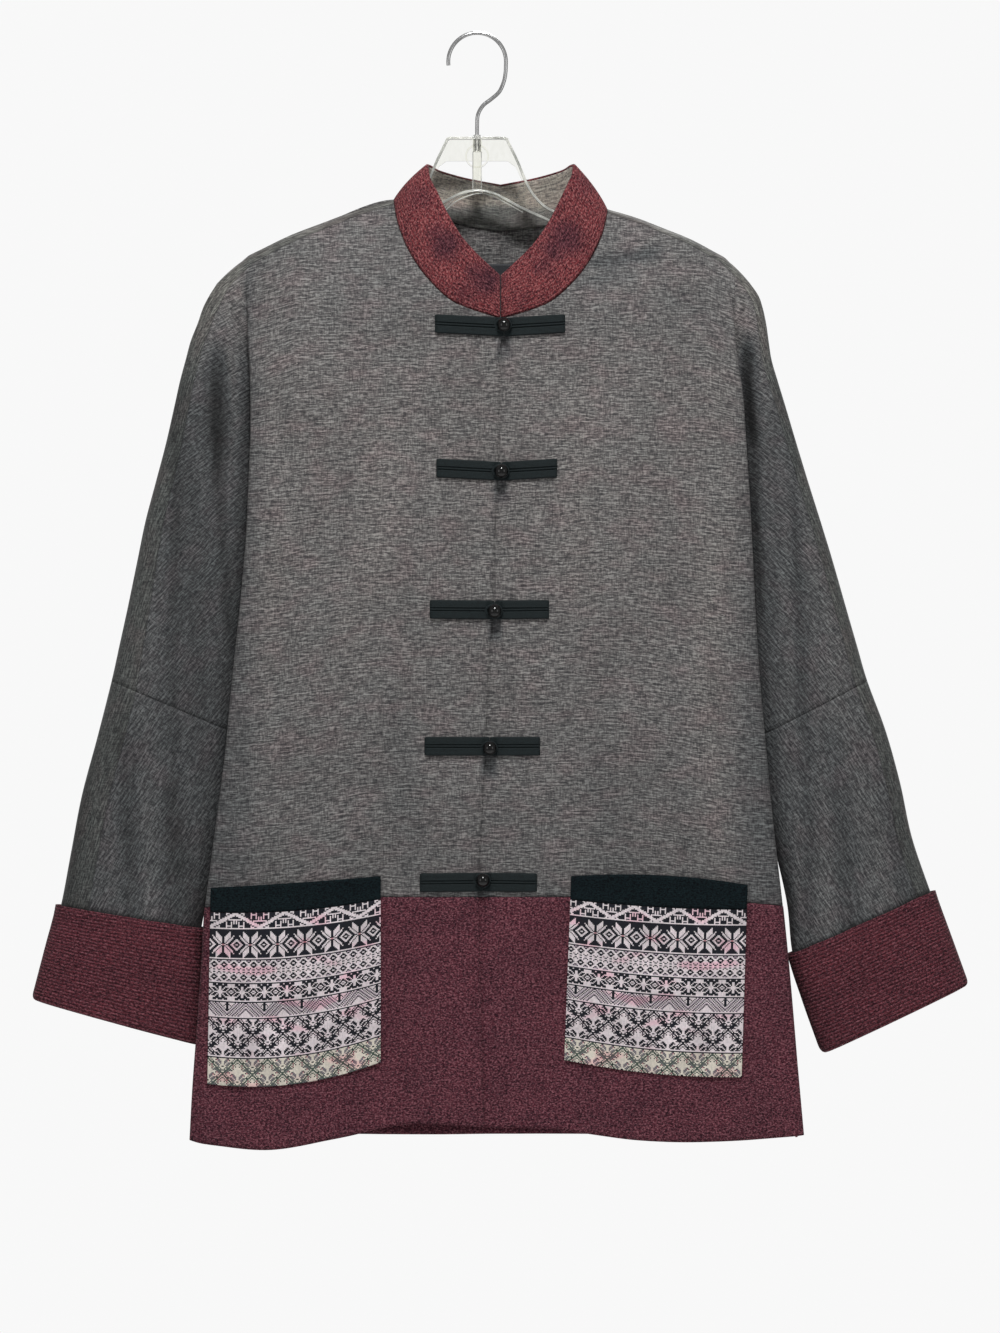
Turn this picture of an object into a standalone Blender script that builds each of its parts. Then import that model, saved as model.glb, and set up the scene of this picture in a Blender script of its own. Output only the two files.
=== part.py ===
"""Silk jacket with cut-on sleeves, hanging on a clear dress hanger.

Metres, +Z up, the front faces -Y. The origin is the inside top of the hanger's hook.
Tables are in millimetres. Right and left are the wearer's, so the right side is at -X.
"""
from collections import namedtuple
from math import cos, pi, sin, sqrt

import bmesh
import bpy
from mathutils import Vector
from mathutils.bvhtree import BVHTree
from mathutils.geometry import tessellate_polygon

MM = 0.001
CLOTH = 1.6
SEAM_GAP = 0.3
CENTRE_X = 20.0

# Neck: the seam where collar and panels meet
NECK_HALF_WIDTH = 91.0
NECK_TOP_Z = -141.0
NECK_FRONT_Z = -245.6
NECK_ROUNDNESS = 1.75
BACK_NECK_DEPTH = 25.0
NECK_RISE = {"right": 1.0, "left": 0.92}

# Lap of the right front over the left front
UNDERLAP = 10.0
LAP_STEP = 2.6

# Rows: the lowest of the neck seam, the one where body and sleeve part, and the last of each stretch
NECK_ROW = 7
UNDERARM_ROW = 11
UPPER_SLEEVE_ROW = 15
PANEL_ROW = 17
HEM_ROW = 21

# How deep the side fold is behind, as a share of the front, and half the gaps at side and shoulder seams
BACK_NOTCH = 0.5
SIDE_GAP = 0.4
SHOULDER_GAP = 0.8
SHOULDER_REACH = 2.0

# Rows over which the rise of the shoulder fades out
SHOULDER_ROWS = 6

# Half the way left open inside the side fold, narrowing over the last rows above the underarm
FOLD_OPEN = 6.5
FOLD_CLOSING = {UNDERARM_ROW - 1: 4.0, UNDERARM_ROW: 2.2}

SIDES = {"right": -1, "left": 1}

Outline = namedtuple("Outline", "z p")

# Distance of the overarm outline from the centre line
OVERARM = {
    "right": [Outline(*row) for row in (
        (-205, 234), (-213, 242), (-230, 252.5), (-246, 258), (-259, 263.5), (-297, 273.7), (-344, 284),
        (-418, 303.5), (-480, 316), (-551, 331.5), (-570, 337), (-609, 346), (-671, 363), (-711, 368),
        (-736, 373), (-820, 396))],
    "left": [Outline(*row) for row in (
        (-205, 206), (-213, 213), (-223, 220), (-238, 225), (-256, 228), (-274, 230), (-298, 237),
        (-329, 246.5), (-365, 257), (-438, 280), (-508, 300), (-556, 314), (-569, 320), (-596, 329),
        (-654, 345), (-686, 351), (-730, 366), (-810, 396))],
}

# Distance of the body's side fold from the centre line
BODY_EDGE = {
    "right": [Outline(*row) for row in (
        (-200, 214), (-253, 215), (-287, 213), (-330, 212), (-409, 215), (-462, 218.5), (-550, 228),
        (-663, 239), (-722, 245.7), (-747, 251), (-900, 262), (-950, 264))],
    "left": [Outline(*row) for row in (
        (-200, 190), (-230, 197), (-269, 201), (-303, 206), (-409, 212.5), (-522, 218), (-601, 225),
        (-654, 230), (-720, 238), (-800, 246), (-900, 254), (-950, 258))],
}

# Free edge of the right front, as X
OPENING = [Outline(*row) for row in (
    (-245.6, 19.6), (-303, 18.7), (-365, 17.9), (-400, 16.2), (-484, 13.6), (-532, 10.2), (-596, 7.7),
    (-713, 1.7), (-734, 0.9), (-930, 6.0))]

# Top edge of the back: neck seam and shoulder seam, as height over distance from the centre line
Edge = namedtuple("Edge", "p z")
BACK_TOP = [Edge(*row) for row in (
    (0, -165), (30, -161), (60, -152.5), (80, -145), (91, -141), (125, -151), (178, -171), (215, -189),
    (242, -213))]

# Lower edge of the hem band in front, as height over X
HEM_EDGE = [Edge(*row) for row in (
    (-250, -941), (-216, -948), (-162, -950), (-109, -937.5), (-77, -925.5), (-46, -929), (8, -930),
    (22, -931.6), (60, -936), (69, -931), (90, -934), (110, -940), (188, -943.5), (236, -941),
    (280, -938))]
HEM_BACK_Z = -942.0

# One row for each level, top to bottom. Heights at the centre front, the overarm and the centre back,
# then how far the cloth stands out in front and behind, and how far the side fold is formed.
Row = namedtuple("Row", "z_in z_out z_back d_in d_mid d_edge d_sleeve b_mid b_edge fold notch")
ROWS = [Row(*row) for row in (
    (-141, -213, -165, 0, 0, 0, 0, 0, 0, 0, 8),
    (-144, -217, -168, 3, 6, 5.5, 5, 6, 5.5, 0, 8),
    (-152, -224, -175, 8, 11, 9.5, 8.5, 11, 9, 0, 8),
    (-168, -234, -188, 15, 17, 13, 11, 15, 12, 0.1, 8),
    (-190, -247, -204, 24, 23, 16, 12.5, 19, 14, 0.35, 8),
    (-212, -262, -222, 32, 28, 19, 14, 22, 16, 0.65, 9),
    (-232, -278, -240, 38, 31, 22, 15, 24, 18, 0.9, 9),
    (-245.6, -296, -256, 41, 33, 24, 15.5, 25, 19, 1, 10),
    (-275, -318, -282, 42, 34, 25, 16, 26, 20, 1, 10),
    (-320, -350, -324, 42, 35, 26, 16, 27, 21, 1, 10),
    (-368, -384, -370, 41, 36, 26, 16.5, 28, 22, 1, 9),
    (-416, -416, -416, 41, 37, 26, 16.5, 29, 22, 1, 9),
    (-447, -447, -447, 41, 37, 27, 17, 29, 23, 1, 9.5),
    (-492, -492, -492, 41, 37, 27, 17, 30, 23, 1, 9.5),
    (-545, -545, -545, 40, 37, 28, 17, 30, 24, 1, 9.5),
    (-605, -605, -605, 39, 37, 29, 18, 31, 25, 1, 9),
    (-668, -668, -668, 39, 37, 30, 18, 31, 26, 1, 8),
    (-735, -735, -735, 39, 37, 31, 18, 32, 27, 1, 7),
    (-785, -785, -785, 40, 38, 31, 18, 32, 27, 1, 6),
    (-838, -838, -838, 41, 38, 31, 18, 33, 27, 1, 5),
    (-890, -890, -890, 42, 38, 31, 18, 33, 27, 1, 4),
    (-935, -935, -935, 42, 38, 31, 18, 33, 27, 1, 3),
)]

# Sleeve below the underarm point: heights at the overarm and at the underarm seam, the seam's distance
# outward of the body's side fold, and the half depth. The rows from UPPER_SLEEVE_ROW on are the lower sleeve.
SleeveRow = namedtuple("SleeveRow", "z_out z_in out_of_edge depth")
SLEEVE_ROWS = {
    "right": [SleeveRow(*row) for row in (
        (-448, -452, -5.5, 16.5), (-488, -502, -5.0, 17), (-522, -550, -5, 17.5), (-552, -596, -5, 18),
        (-600, -640, -4, 18.5), (-650, -687, -1, 19), (-698, -728, 3, 19.5), (-743, -763, 5.5, 20),
        (-780, -810, 1.5, 20.5), (-818, -856, -1, 21))],
    "left": [SleeveRow(*row) for row in (
        (-448, -452, -5.5, 16.5), (-488, -502, -5.0, 17), (-522, -552, -5, 17.5), (-552, -600, -5, 18),
        (-595, -645, -4, 18.5), (-640, -695, 0, 19), (-685, -742, 5, 19.5), (-731, -785, 5.5, 20),
        (-768, -825, 14, 20.5), (-806, -863, 24, 21))],
}

# Large soft folds, as lines on the panels from top to bottom: place, half width and height.
# A ridge stands out, a trough has a negative height.
Fold = namedtuple("Fold", "face x_top z_top x_low z_low width height")
FOLDS = [Fold(*row) for row in (
    ("front", 96, -196, 150, -178, 14, 2.5),
    ("front", -110, -300, -150, -560, 34, 3.0),
    ("front", 120, -330, 150, -640, 36, 3.0),
    ("front", -80, -700, -74, -940, 20, -4.5),
    ("front", -150, -760, -160, -950, 34, 3.5),
    ("front", 62, -720, 66, -940, 17, -4.0),
    ("front", 150, -780, 160, -945, 36, 3.0),
    ("front", -44, -780, -40, -935, 15, 2.0),
    ("back", -120, -360, -150, -940, 36, 4.0),
    ("back", -40, -420, -44, -940, 30, -4.0),
    ("back", 60, -300, 52, -940, 36, 4.0),
    ("back", 140, -460, 160, -940, 34, -4.5),
    ("back", -190, -500, -205, -940, 26, -3.0),
    ("sleeve", -262, -330, -322, -740, 22, 2.5),
    ("sleeve", 262, -330, 322, -740, 22, 2.5),
)]

# Top edge of the collar, one row for each row of the neck ring from the centre front to the centre back
CollarRow = namedtuple("CollarRow", "p y z")
COLLAR_TOP = [CollarRow(*row) for row in (
    (1.2, -36, -209), (22, -34, -189), (36, -29, -172), (47, -22, -153), (55.5, -14, -135),
    (62, -8.5, -121), (63.5, 1, -112), (61, 9, -111.5), (52, 17, -116), (28, 25, -122), (0, 28, -127))]
NECK_ROWS = (7, 6, 5, 4, 3, 2, 0)
COLLAR_BACK_P = (84, 64, 34, 0)
COLLAR_COLUMNS = (0, 0.5, 1, 1.5, 2, 2.5, 3, 4, 5, 6, 7, 8, 8.5, 9, 9.5, 10)
COLLAR_BULGE = 2.5
COLLAR_LIFT = 1.4
COLLAR_WALL = 1.5
FACING_WALL = 0.8
FACING_SETBACK = 2.2

# Turned-back cuff: how far it stands off the sleeve, its turn at the wrist and its inner hem
CUFF_STAND_TOP = 4.2
CUFF_STAND_LOW = 3.2
CUFF_INSIDE = -2.8
CUFF_TURN = 6.0
CUFF_HEM = 16.0

# Frog closures: outer ends and the ball's place
Frog = namedtuple("Frog", "x_right x_left z_end z_mid ball_x ball_z")
FROGS = [Frog(*row) for row in (
    (-35.7, 74.8, -249.0, -252.3, 22.9, -250.6),
    (-34.4, 68.0, -371.5, -374.4, 20.8, -374.4),
    (-40.0, 61.2, -491.3, -491.8, 15.1, -492.9),
    (-44.5, 53.6, -607.3, -607.4, 10.9, -609.0),
    (-48.5, 51.0, -723.0, -722.4, 5.1, -720.8),
)]
FROG_HALF_HEIGHT = 8.0
FROG_THICK = 2.4
FROG_STEPS = 3
FROG_REACH = 4.0
FROG_BALL_CLEAR = 6.4
BALL_RADIUS = 5.8

# Patch pockets: corners as X and Z, top outer, top inner, low outer, low inner
Pocket = namedtuple("Pocket", "top_outer top_inner low_outer low_inner")
POCKETS = {
    "right": Pocket((-226, -727.6), (-81.6, -717.4), (-228.7, -894), (-81.6, -875)),
    "left": Pocket((229.5, -725), (79.9, -717.4), (224.4, -888), (74, -873)),
}
POCKET_BAND = 20.5
POCKET_WALL = 1.5
BAND_WALL = 2.0
POCKET_BOW = 1.8
POCKET_COLUMNS = 9
POCKET_ROWS = 8
BAND_STEP = 0.2
LAY_GAP = 0.55
LAY_REACH = (5.0, 4.0)
RAY_START_Y = -200.0

# Neck label on the inside of the back
LABEL_WIDTH = 38.0
LABEL_TOP_Z = -194.0
LABEL_LOW_Z = -236.0
LABEL_WALL = 0.8

# Hanger
HANGER_HALF_SPAN = 213.0
HANGER_THICK = 7.0
ARM_TOP_Z = -153.5
HANGER_END_TOP_Z = -214.5
ARM_HEIGHT = 20.0
HUB_TOP_Z = -87.2
HUB_HALF_WIDTH = 28.0
BAR_HALF_WIDTH = 4.0
SOCKET_DEPTH = 13.0
HOOK_RADIUS = 24.65
WIRE_RADIUS = 1.7

COLLECTION = "Embroidered silk jacket"
CUTTERS = "Cutters"


def clear_scene():
    for old in list(bpy.data.objects):
        bpy.data.objects.remove(old, do_unlink=True)


def collection(name):
    made = bpy.data.collections.new(name)
    bpy.context.scene.collection.children.link(made)
    return made


def material(name, colour, roughness, metallic=0.0, alpha=1.0):
    made = bpy.data.materials.new(name)
    made.use_nodes = True
    shader = made.node_tree.nodes["Principled BSDF"]
    shader.inputs["Base Color"].default_value = (*colour, 1.0)
    shader.inputs["Roughness"].default_value = roughness
    shader.inputs["Metallic"].default_value = metallic
    shader.inputs["Alpha"].default_value = alpha
    made.diffuse_color = (*colour, 1.0)
    return made


# Curves through table rows

def blend(a, b, t):
    return a + (b - a) * t


def smooth(t):
    t = min(1.0, max(0.0, t))
    return t * t * (3 - 2 * t)


def read(table, at):
    """Height or distance read from a two-column table, along its first column."""
    rows = sorted(table)
    if at <= rows[0][0]:
        return rows[0][1]
    for low, high in zip(rows, rows[1:]):
        if at <= high[0]:
            return blend(low[1], high[1], (at - low[0]) / (high[0] - low[0]))
    return rows[-1][1]


def through(points, t):
    """Point on the smooth curve through the points; t counts them from 0."""
    last = len(points) - 1
    i = min(int(t), last - 1)
    f = t - i
    p1, p2 = points[i], points[i + 1]
    p0 = points[i - 1] if i > 0 else p1 + (p1 - p2)
    p3 = points[i + 2] if i + 2 <= last else p2 + (p2 - p1)
    return 0.5 * (2 * p1 + (p2 - p0) * f + (2 * p0 - 5 * p1 + 4 * p2 - p3) * f ** 2
                  + (3 * p1 - p0 - 3 * p2 + p3) * f ** 3)


# Form of the garment

def neck_point(side, z_in):
    """Distance from the centre line and height of the front neck seam."""
    drop = (NECK_TOP_Z - z_in) / (NECK_TOP_Z - NECK_FRONT_Z)
    across = max(0.0, 1.0 - drop ** NECK_ROUNDNESS) ** (1 / NECK_ROUNDNESS)
    z = NECK_FRONT_Z + (z_in - NECK_FRONT_Z) * NECK_RISE[side]
    return NECK_HALF_WIDTH * across, z


def inner_end(side, row):
    """Inner end of a front row: on the neck seam, then down the opening."""
    if row.z_in > NECK_FRONT_Z + 1:
        return neck_point(side, row.z_in)
    z = row.z_in
    p = SIDES[side] * (read(OPENING, z) - CENTRE_X) + 0.5 * SEAM_GAP
    if side == "left":
        p -= UNDERLAP * smooth((NECK_FRONT_Z - 1 - z) / 25)
    return p, z


def top_rise(f, inner_p):
    """How far the top edge of the back stands above the straight line between its two ends."""
    shoulder = read(BACK_TOP, blend(inner_p, BACK_TOP[-1].p, f))
    return shoulder - blend(read(BACK_TOP, inner_p), BACK_TOP[-1].z, f)


def fold_height(face, x, z):
    """Sum of the soft folds at a point of the front, the back or a sleeve."""
    total = 0.0
    for fold in FOLDS:
        if fold.face != face:
            continue
        dx, dz = fold.x_low - fold.x_top, fold.z_low - fold.z_top
        length = dx * dx + dz * dz
        along = ((x - fold.x_top) * dx + (z - fold.z_top) * dz) / length
        off = ((x - fold.x_top) * dz - (z - fold.z_top) * dx) / sqrt(length)
        ends = smooth((along + 0.15) / 0.35) * smooth((1.3 - along) / 0.4)
        total += fold.height * ends * max(0.0, 1 - (off / (2 * fold.width)) ** 2) ** 2
    return total


def place(side, p, y, z):
    return Vector((CENTRE_X + SIDES[side] * p, y, z))


def body_row(side, face, level):
    """Points across one half of the body at a level, from its inner end to the inmost point of the fold."""
    row = ROWS[level]
    front = face == "front"
    sign = -1 if front else 1
    if front:
        p_in, z_in = inner_end(side, row)
        d_in, d_mid, d_edge = row.d_in, row.d_mid, row.d_edge
    else:
        p_in, z_in = 0.0, row.z_back
        d_in, d_mid, d_edge = row.b_mid, row.b_mid, row.b_edge
    z_out = row.z_out
    p_out = read(OVERARM[side], z_out)
    z_edge_guess = blend(z_in, z_out, 0.75)
    p_edge = read(BODY_EDGE[side], z_edge_guess)
    fade = 1 - smooth(level / SHOULDER_ROWS)
    width = p_out - p_edge
    turn_in = 0.12 * width
    fold = row.fold
    inmost_y = SIDE_GAP if level > UNDERARM_ROW else FOLD_CLOSING.get(level, FOLD_OPEN)
    notch = row.notch
    if not front:
        notch *= blend(BACK_NOTCH, 1.0, smooth((level - 8) / 2))
    inmost_p = blend(2 * turn_in, -notch - (1.0 if level != UNDERARM_ROW else -2.0), fold)
    pre_p = blend(turn_in, -notch, fold)
    pre_y = blend(d_edge * 0.97, max(inmost_y + 3.5, d_edge * 0.38), fold)
    inner_y = blend(d_edge * 0.95, inmost_y, fold)
    half = 0.5 if front else NECK_HALF_WIDTH / p_edge
    steps = (
        (0.0, d_in), (0.5 * half, blend(d_in, d_mid, 0.55)), (half, d_mid),
        (0.5 * (half + 0.95), blend(d_mid, d_edge, 0.4)), (0.93, d_edge + 0.5 * fold))
    points = []
    for t, depth in steps:
        points.append((blend(p_in, p_edge, t), depth))
    points.append((p_edge, blend(d_edge, d_edge * 0.8, fold)))
    points.append((p_edge + pre_p, pre_y))
    points.append((p_edge + inmost_p, inner_y))
    made = []
    for i, (p, depth) in enumerate(points):
        f = (p - p_in) / max(1.0, p_out - p_in)
        z = blend(z_in, z_out, f)
        z += fade * row_rise(side, face, f)
        z -= side_drop(level, p)
        lap = 0.0
        if side == "left" and front and level >= NECK_ROW and i == 0:
            lap = LAP_STEP
        if level > PANEL_ROW:
            z = hem_height(level, CENTRE_X + SIDES[side] * p, front)
        rounded = depth - lap
        if not front:
            rounded += back_neck_depth(p) * max(0.0, 1 - depth / BACK_NECK_DEPTH)
        point = place(side, p, sign * rounded, z)
        if i < 6:
            point.y += sign * fold_height(face, point.x, point.z) * smooth(level / 4)
        made.append(point)
    return made


def row_rise(side, face, f):
    """Rise of the shoulder and back neck above a straight row, scaled to the side's own shoulder."""
    start = NECK_HALF_WIDTH if face == "front" else 0.0
    rise = top_rise(f, start)
    if side == "left":
        shoulder_start = NECK_HALF_WIDTH / BACK_TOP[-1].p
        lower = (1 - NECK_RISE["left"]) * (NECK_TOP_Z - NECK_FRONT_Z)
        if face == "back":
            rise -= lower * smooth(f / shoulder_start) * (1 - smooth((f - shoulder_start) / 0.6))
    return rise


def side_drop(level, p):
    """The hem seam runs a little lower at the sides."""
    return 9.0 * smooth((level - 12) / 5) * (max(0.0, p) / 245.0) ** 4


def hem_height(level, x, front):
    bottom = read(HEM_EDGE, x) if front else HEM_BACK_Z
    top = ROWS[PANEL_ROW].z_in - side_drop(PANEL_ROW, abs(x - CENTRE_X))
    share = (ROWS[level].z_in - ROWS[PANEL_ROW].z_in) / (ROWS[HEM_ROW].z_in - ROWS[PANEL_ROW].z_in)
    return blend(top, bottom, share)


def back_neck_depth(p):
    """The back neck seam stands behind the shoulder seam."""
    inside = max(0.0, 1 - (p / NECK_HALF_WIDTH) ** 2)
    return BACK_NECK_DEPTH * sqrt(inside)


def sleeve_row(side, face, level):
    """Points across one face of the sleeve, from the inmost point of the fold to the overarm seam."""
    sign = -1 if face == "front" else 1
    if level <= UNDERARM_ROW:
        row = ROWS[level]
        inner = body_row(side, face, level)
        p_in = SIDES[side] * (inner[-1].x - CENTRE_X)
        y_in = abs(inner[-1].y)
        z_in = inner[-1].z
        z_out = row.z_out
        depth = row.d_sleeve
        p_out = read(OVERARM[side], z_out)
        p_edge = SIDES[side] * (inner[5].x - CENTRE_X)
        width = p_out - p_edge
        fold = row.fold
        notch = p_edge - p_in - (1.0 if level != UNDERARM_ROW else -2.0)
        post_p = p_edge + blend(0.36 * width, -notch + (5.5 if level == UNDERARM_ROW else 3.5), fold)
        post_y = blend(blend(row.d_edge, depth, 0.4), max(y_in - 2.6, 3.0) if level < 10 else y_in + 3.6, fold)
        near_p = p_edge + blend(0.48 * width, 5.0, fold)
        near_y = blend(depth, depth * 0.72, fold)
    else:
        row = SLEEVE_ROWS[side][level - UNDERARM_ROW - 1]
        z_out, z_in, depth = row.z_out, row.z_in, row.depth
        p_out = read(OVERARM[side], z_out)
        p_in = read(BODY_EDGE[side], z_in) + row.out_of_edge
        y_in = SIDE_GAP
        post_p, post_y = p_in + 1.5, depth * 0.38
        near_p, near_y = p_in + 11.0, depth * 0.74
    span = p_out - near_p
    steps = (
        (p_in, y_in), (post_p, post_y), (near_p, near_y), (near_p + 0.36 * span, depth),
        (near_p + 0.68 * span, depth * 0.96), (near_p + 0.90 * span, depth * 0.74),
        (near_p + 0.985 * span, depth * 0.36), (p_out, SIDE_GAP * 0.5))
    made = []
    for i, (p, y) in enumerate(steps):
        f = (p - p_in) / (p_out - p_in)
        z = blend(z_in, z_out, f)
        if level <= UNDERARM_ROW:
            fade = 1 - smooth(level / SHOULDER_ROWS)
            z += fade * 4.0 * f * (1 - f)
        point = place(side, p, sign * y, z)
        if 2 <= i <= 5:
            point.y += sign * fold_height("sleeve", point.x, point.z)
        made.append(point)
    return made


def resample(points, columns):
    return [through(points, t) for t in columns]


BODY_COLUMNS = (0, 0.5, 1, 2, 3, 3.6, 4, 4.6, 5, 5.6, 6, 7)
BACK_COLUMNS = (0, 0.5, 1, 1.5, 2, 3, 3.6, 4, 4.6, 5, 5.6, 6, 7)
SLEEVE_COLUMNS = (0, 1, 2, 2.6, 3, 3.6, 4, 5, 6, 7)


def open_seam(line, start=True, end=True):
    """Draws the ends of a row of points back by half a seam gap."""
    line = [point.copy() for point in line]
    if start:
        line[0] += (line[1] - line[0]).normalized() * SEAM_GAP * 0.5
    if end:
        line[-1] += (line[-2] - line[-1]).normalized() * SEAM_GAP * 0.5
    return line


# Mesh from rows of points

def sheet(name, groups, thickness, colour, target, closed=False):
    """A cloth piece: rows of points made into one surface and given its thickness.

    Each group is a grid of rows. Points that two grids share are one vertex.
    """
    mesh = bpy.data.meshes.new(name)
    build = bmesh.new()
    found = {}

    def vertex(point):
        key = tuple(round(value, 4) for value in point)
        if key not in found:
            found[key] = build.verts.new(point * MM)
        return found[key]

    for rows in groups:
        made = [[vertex(point) for point in line] for line in rows]
        for upper, lower in zip(made, made[1:]):
            count = len(upper)
            for i in range(count if closed else count - 1):
                j = (i + 1) % count
                corners = [upper[i], upper[j], lower[j], lower[i]]
                unique = list(dict.fromkeys(corners))
                if len(unique) > 2:
                    build.faces.new(unique)
    bmesh.ops.recalc_face_normals(build, faces=build.faces)
    build.to_mesh(mesh)
    build.free()
    mesh.shade_smooth()
    piece = bpy.data.objects.new(name, mesh)
    target.objects.link(piece)
    mesh.materials.append(colour)
    shell = piece.modifiers.new("Cloth thickness", "SOLIDIFY")
    shell.thickness = thickness * MM
    shell.offset = 0.0
    return piece


def panel_groups(side, face, last_body):
    """Grids of one half panel: the body with its side fold, and the upper sleeve."""
    body, sleeve = [], []
    for level in range(0, last_body + 1):
        line = resample(body_row(side, face, level), BODY_COLUMNS if face == "front" else BACK_COLUMNS)
        body.append(line)
    for level in range(0, UPPER_SLEEVE_ROW + 1):
        line = resample(sleeve_row(side, face, level), SLEEVE_COLUMNS)
        line = open_seam(line, start=level > UNDERARM_ROW)
        sleeve.append(line)
    for level in range(UNDERARM_ROW + 1):
        sleeve[level][0] = body[level][-1]
    return body, sleeve


def front_panel(side, colour, target):
    body, sleeve = panel_groups(side, "front", PANEL_ROW)
    lift_row(body[0], -1)
    lift_row(sleeve[0], -1)
    return sheet("front_" + side, (body, sleeve), CLOTH, colour, target)


def lift_row(line, sign):
    """Parts the front and the back by a seam gap along the shoulder."""
    for point in line:
        if abs(point.y) < SHOULDER_REACH:
            point.y = sign * SHOULDER_GAP


def back_panel(colour, target):
    halves = []
    for side in SIDES:
        body, sleeve = panel_groups(side, "back", PANEL_ROW)
        lift_row(body[0], 1)
        lift_row(sleeve[0], 1)
        halves += [body, sleeve]
    return sheet("back", halves, CLOTH, colour, target)


def hem_rows(side, face):
    rows = []
    for level in range(PANEL_ROW, HEM_ROW + 1):
        line = resample(body_row(side, face, level), BODY_COLUMNS if face == "front" else BACK_COLUMNS)
        rows.append(line)
    rows[0] = [upper + (lower - upper).normalized() * SEAM_GAP for upper, lower in zip(rows[0], rows[1])]
    return rows


def hem_bands(colour, target):
    for side in SIDES:
        sheet("hem_front_" + side, (hem_rows(side, "front"),), CLOTH + 0.2, colour, target)
    back = [hem_rows(side, "back") for side in SIDES]
    sheet("hem_back", back, CLOTH + 0.2, colour, target)


def sleeve_ring(side, level):
    """Closed ring of the sleeve at one of its rows below the underarm."""
    front = resample(sleeve_row(side, "front", level), SLEEVE_COLUMNS)
    back = resample(sleeve_row(side, "back", level), SLEEVE_COLUMNS)
    return front + back[-2:0:-1]


def lower_sleeve(side, colour, target):
    last = UNDERARM_ROW + len(SLEEVE_ROWS[side])
    rings = [sleeve_ring(side, level) for level in range(UPPER_SLEEVE_ROW, last + 1)]
    rings[0] = [a + (b - a).normalized() * SEAM_GAP for a, b in zip(rings[0], rings[1])]
    return sheet("sleeve_lower_" + side, (rings,), CLOTH, colour, target, closed=True)


def grown(ring, by):
    """A ring moved outward all round, by an amount in its own plane."""
    count = len(ring)
    made = []
    for i, point in enumerate(ring):
        along = ring[(i + 1) % count] - ring[i - 1]
        out = Vector((along.y, -along.x, 0)).normalized()
        made.append((point, out))
    middle = sum(ring, Vector()) / count
    turned = sum((point - middle).dot(out) for point, out in made)
    sign = 1 if turned > 0 else -1
    return [point + sign * by * out for point, out in made]


def cuff(side, colour, target):
    """Turned-back cuff: down outside the sleeve, round the wrist edge and up inside it."""
    last = UNDERARM_ROW + len(SLEEVE_ROWS[side])
    top, middle, wrist = (sleeve_ring(side, level) for level in (last - 2, last - 1, last))

    def ring_below(down, by):
        ring = []
        for upper, point in zip(middle, wrist):
            ring.append(point + (point - upper).normalized() * down)
        return grown(ring, by)

    half_turn = 0.5 * (CUFF_STAND_LOW + CUFF_INSIDE)
    rings = [
        grown(top, CUFF_STAND_TOP),
        grown(middle, blend(CUFF_STAND_TOP, CUFF_STAND_LOW, 0.6)),
        ring_below(0.0, CUFF_STAND_LOW),
        ring_below(CUFF_TURN * 0.75, CUFF_STAND_LOW * 0.8),
        ring_below(CUFF_TURN, half_turn),
        ring_below(CUFF_TURN * 0.7, CUFF_INSIDE * 0.8),
        ring_below(0.0, CUFF_INSIDE),
        ring_below(-CUFF_HEM, CUFF_INSIDE),
    ]
    return sheet("cuff_" + side, (rings,), CLOTH, colour, target, closed=True)


# Collar

def neck_ring(side):
    """Points of the neck seam on one side, from the centre front to the centre back."""
    ring = [body_row(side, "front", level)[0] for level in NECK_ROWS]
    edge = resample(body_row(side, "back", 0), BACK_COLUMNS)
    for p in COLLAR_BACK_P:
        for a, b in zip(edge, edge[1:]):
            near, far = abs(a.x - CENTRE_X), abs(b.x - CENTRE_X)
            if near <= p < far:
                ring.append(a.lerp(b, (p - near) / (far - near)))
    return ring


def collar_grid(setback):
    """Rows of the collar from the neck seam to its top edge, all round, set back from the outer layer."""
    low, high = [], []
    for side in ("right", "left"):
        bottom = neck_ring(side)
        top = [place(side, row.p, row.y, row.z) for row in COLLAR_TOP]
        bottom[0].x = top[0].x
        bottom, top = resample(bottom, COLLAR_COLUMNS), resample(top, COLLAR_COLUMNS)
        if side == "left":
            bottom, top = bottom[-2::-1], top[-2::-1]
        low += bottom
        high += top
    rows = []
    for share in (0.0, 0.5, 1.0):
        line = []
        for a, b in zip(low, high):
            start = a + (b - a).normalized() * COLLAR_LIFT
            point = start.lerp(b, share)
            out = Vector((point.x - CENTRE_X, point.y * 2.0, 0)).normalized()
            line.append(point + out * COLLAR_BULGE * 4 * share * (1 - share))
        rows.append(line)
    return moved_in(rows, setback) if setback else rows


def moved_in(rows, setback):
    """A grid moved along its own normals, towards the neck."""
    made = []
    for j, line in enumerate(rows):
        above, below = rows[max(j - 1, 0)], rows[min(j + 1, len(rows) - 1)]
        new = []
        for i, point in enumerate(line):
            along = line[min(i + 1, len(line) - 1)] - line[max(i - 1, 0)]
            normal = along.cross(below[i] - above[i]).normalized()
            if normal.dot(Vector((point.x - CENTRE_X, point.y * 2.0, 0))) > 0:
                normal = -normal
            new.append(point + normal * setback)
        made.append(new)
    return made


def collar(outer, facing, target):
    sheet("collar_outer", (collar_grid(0.0),), COLLAR_WALL, outer, target)
    sheet("collar_facing", (collar_grid(FACING_SETBACK),), FACING_WALL, facing, target)


# Pieces laid on the panels

def surface_of(names):
    """Outer surface of built pieces, to lay others on."""
    bpy.context.view_layer.update()
    graph = bpy.context.evaluated_depsgraph_get()
    trees = []
    for name in names:
        trees.append(BVHTree.FromObject(bpy.data.objects[name], graph))
    return trees


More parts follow.
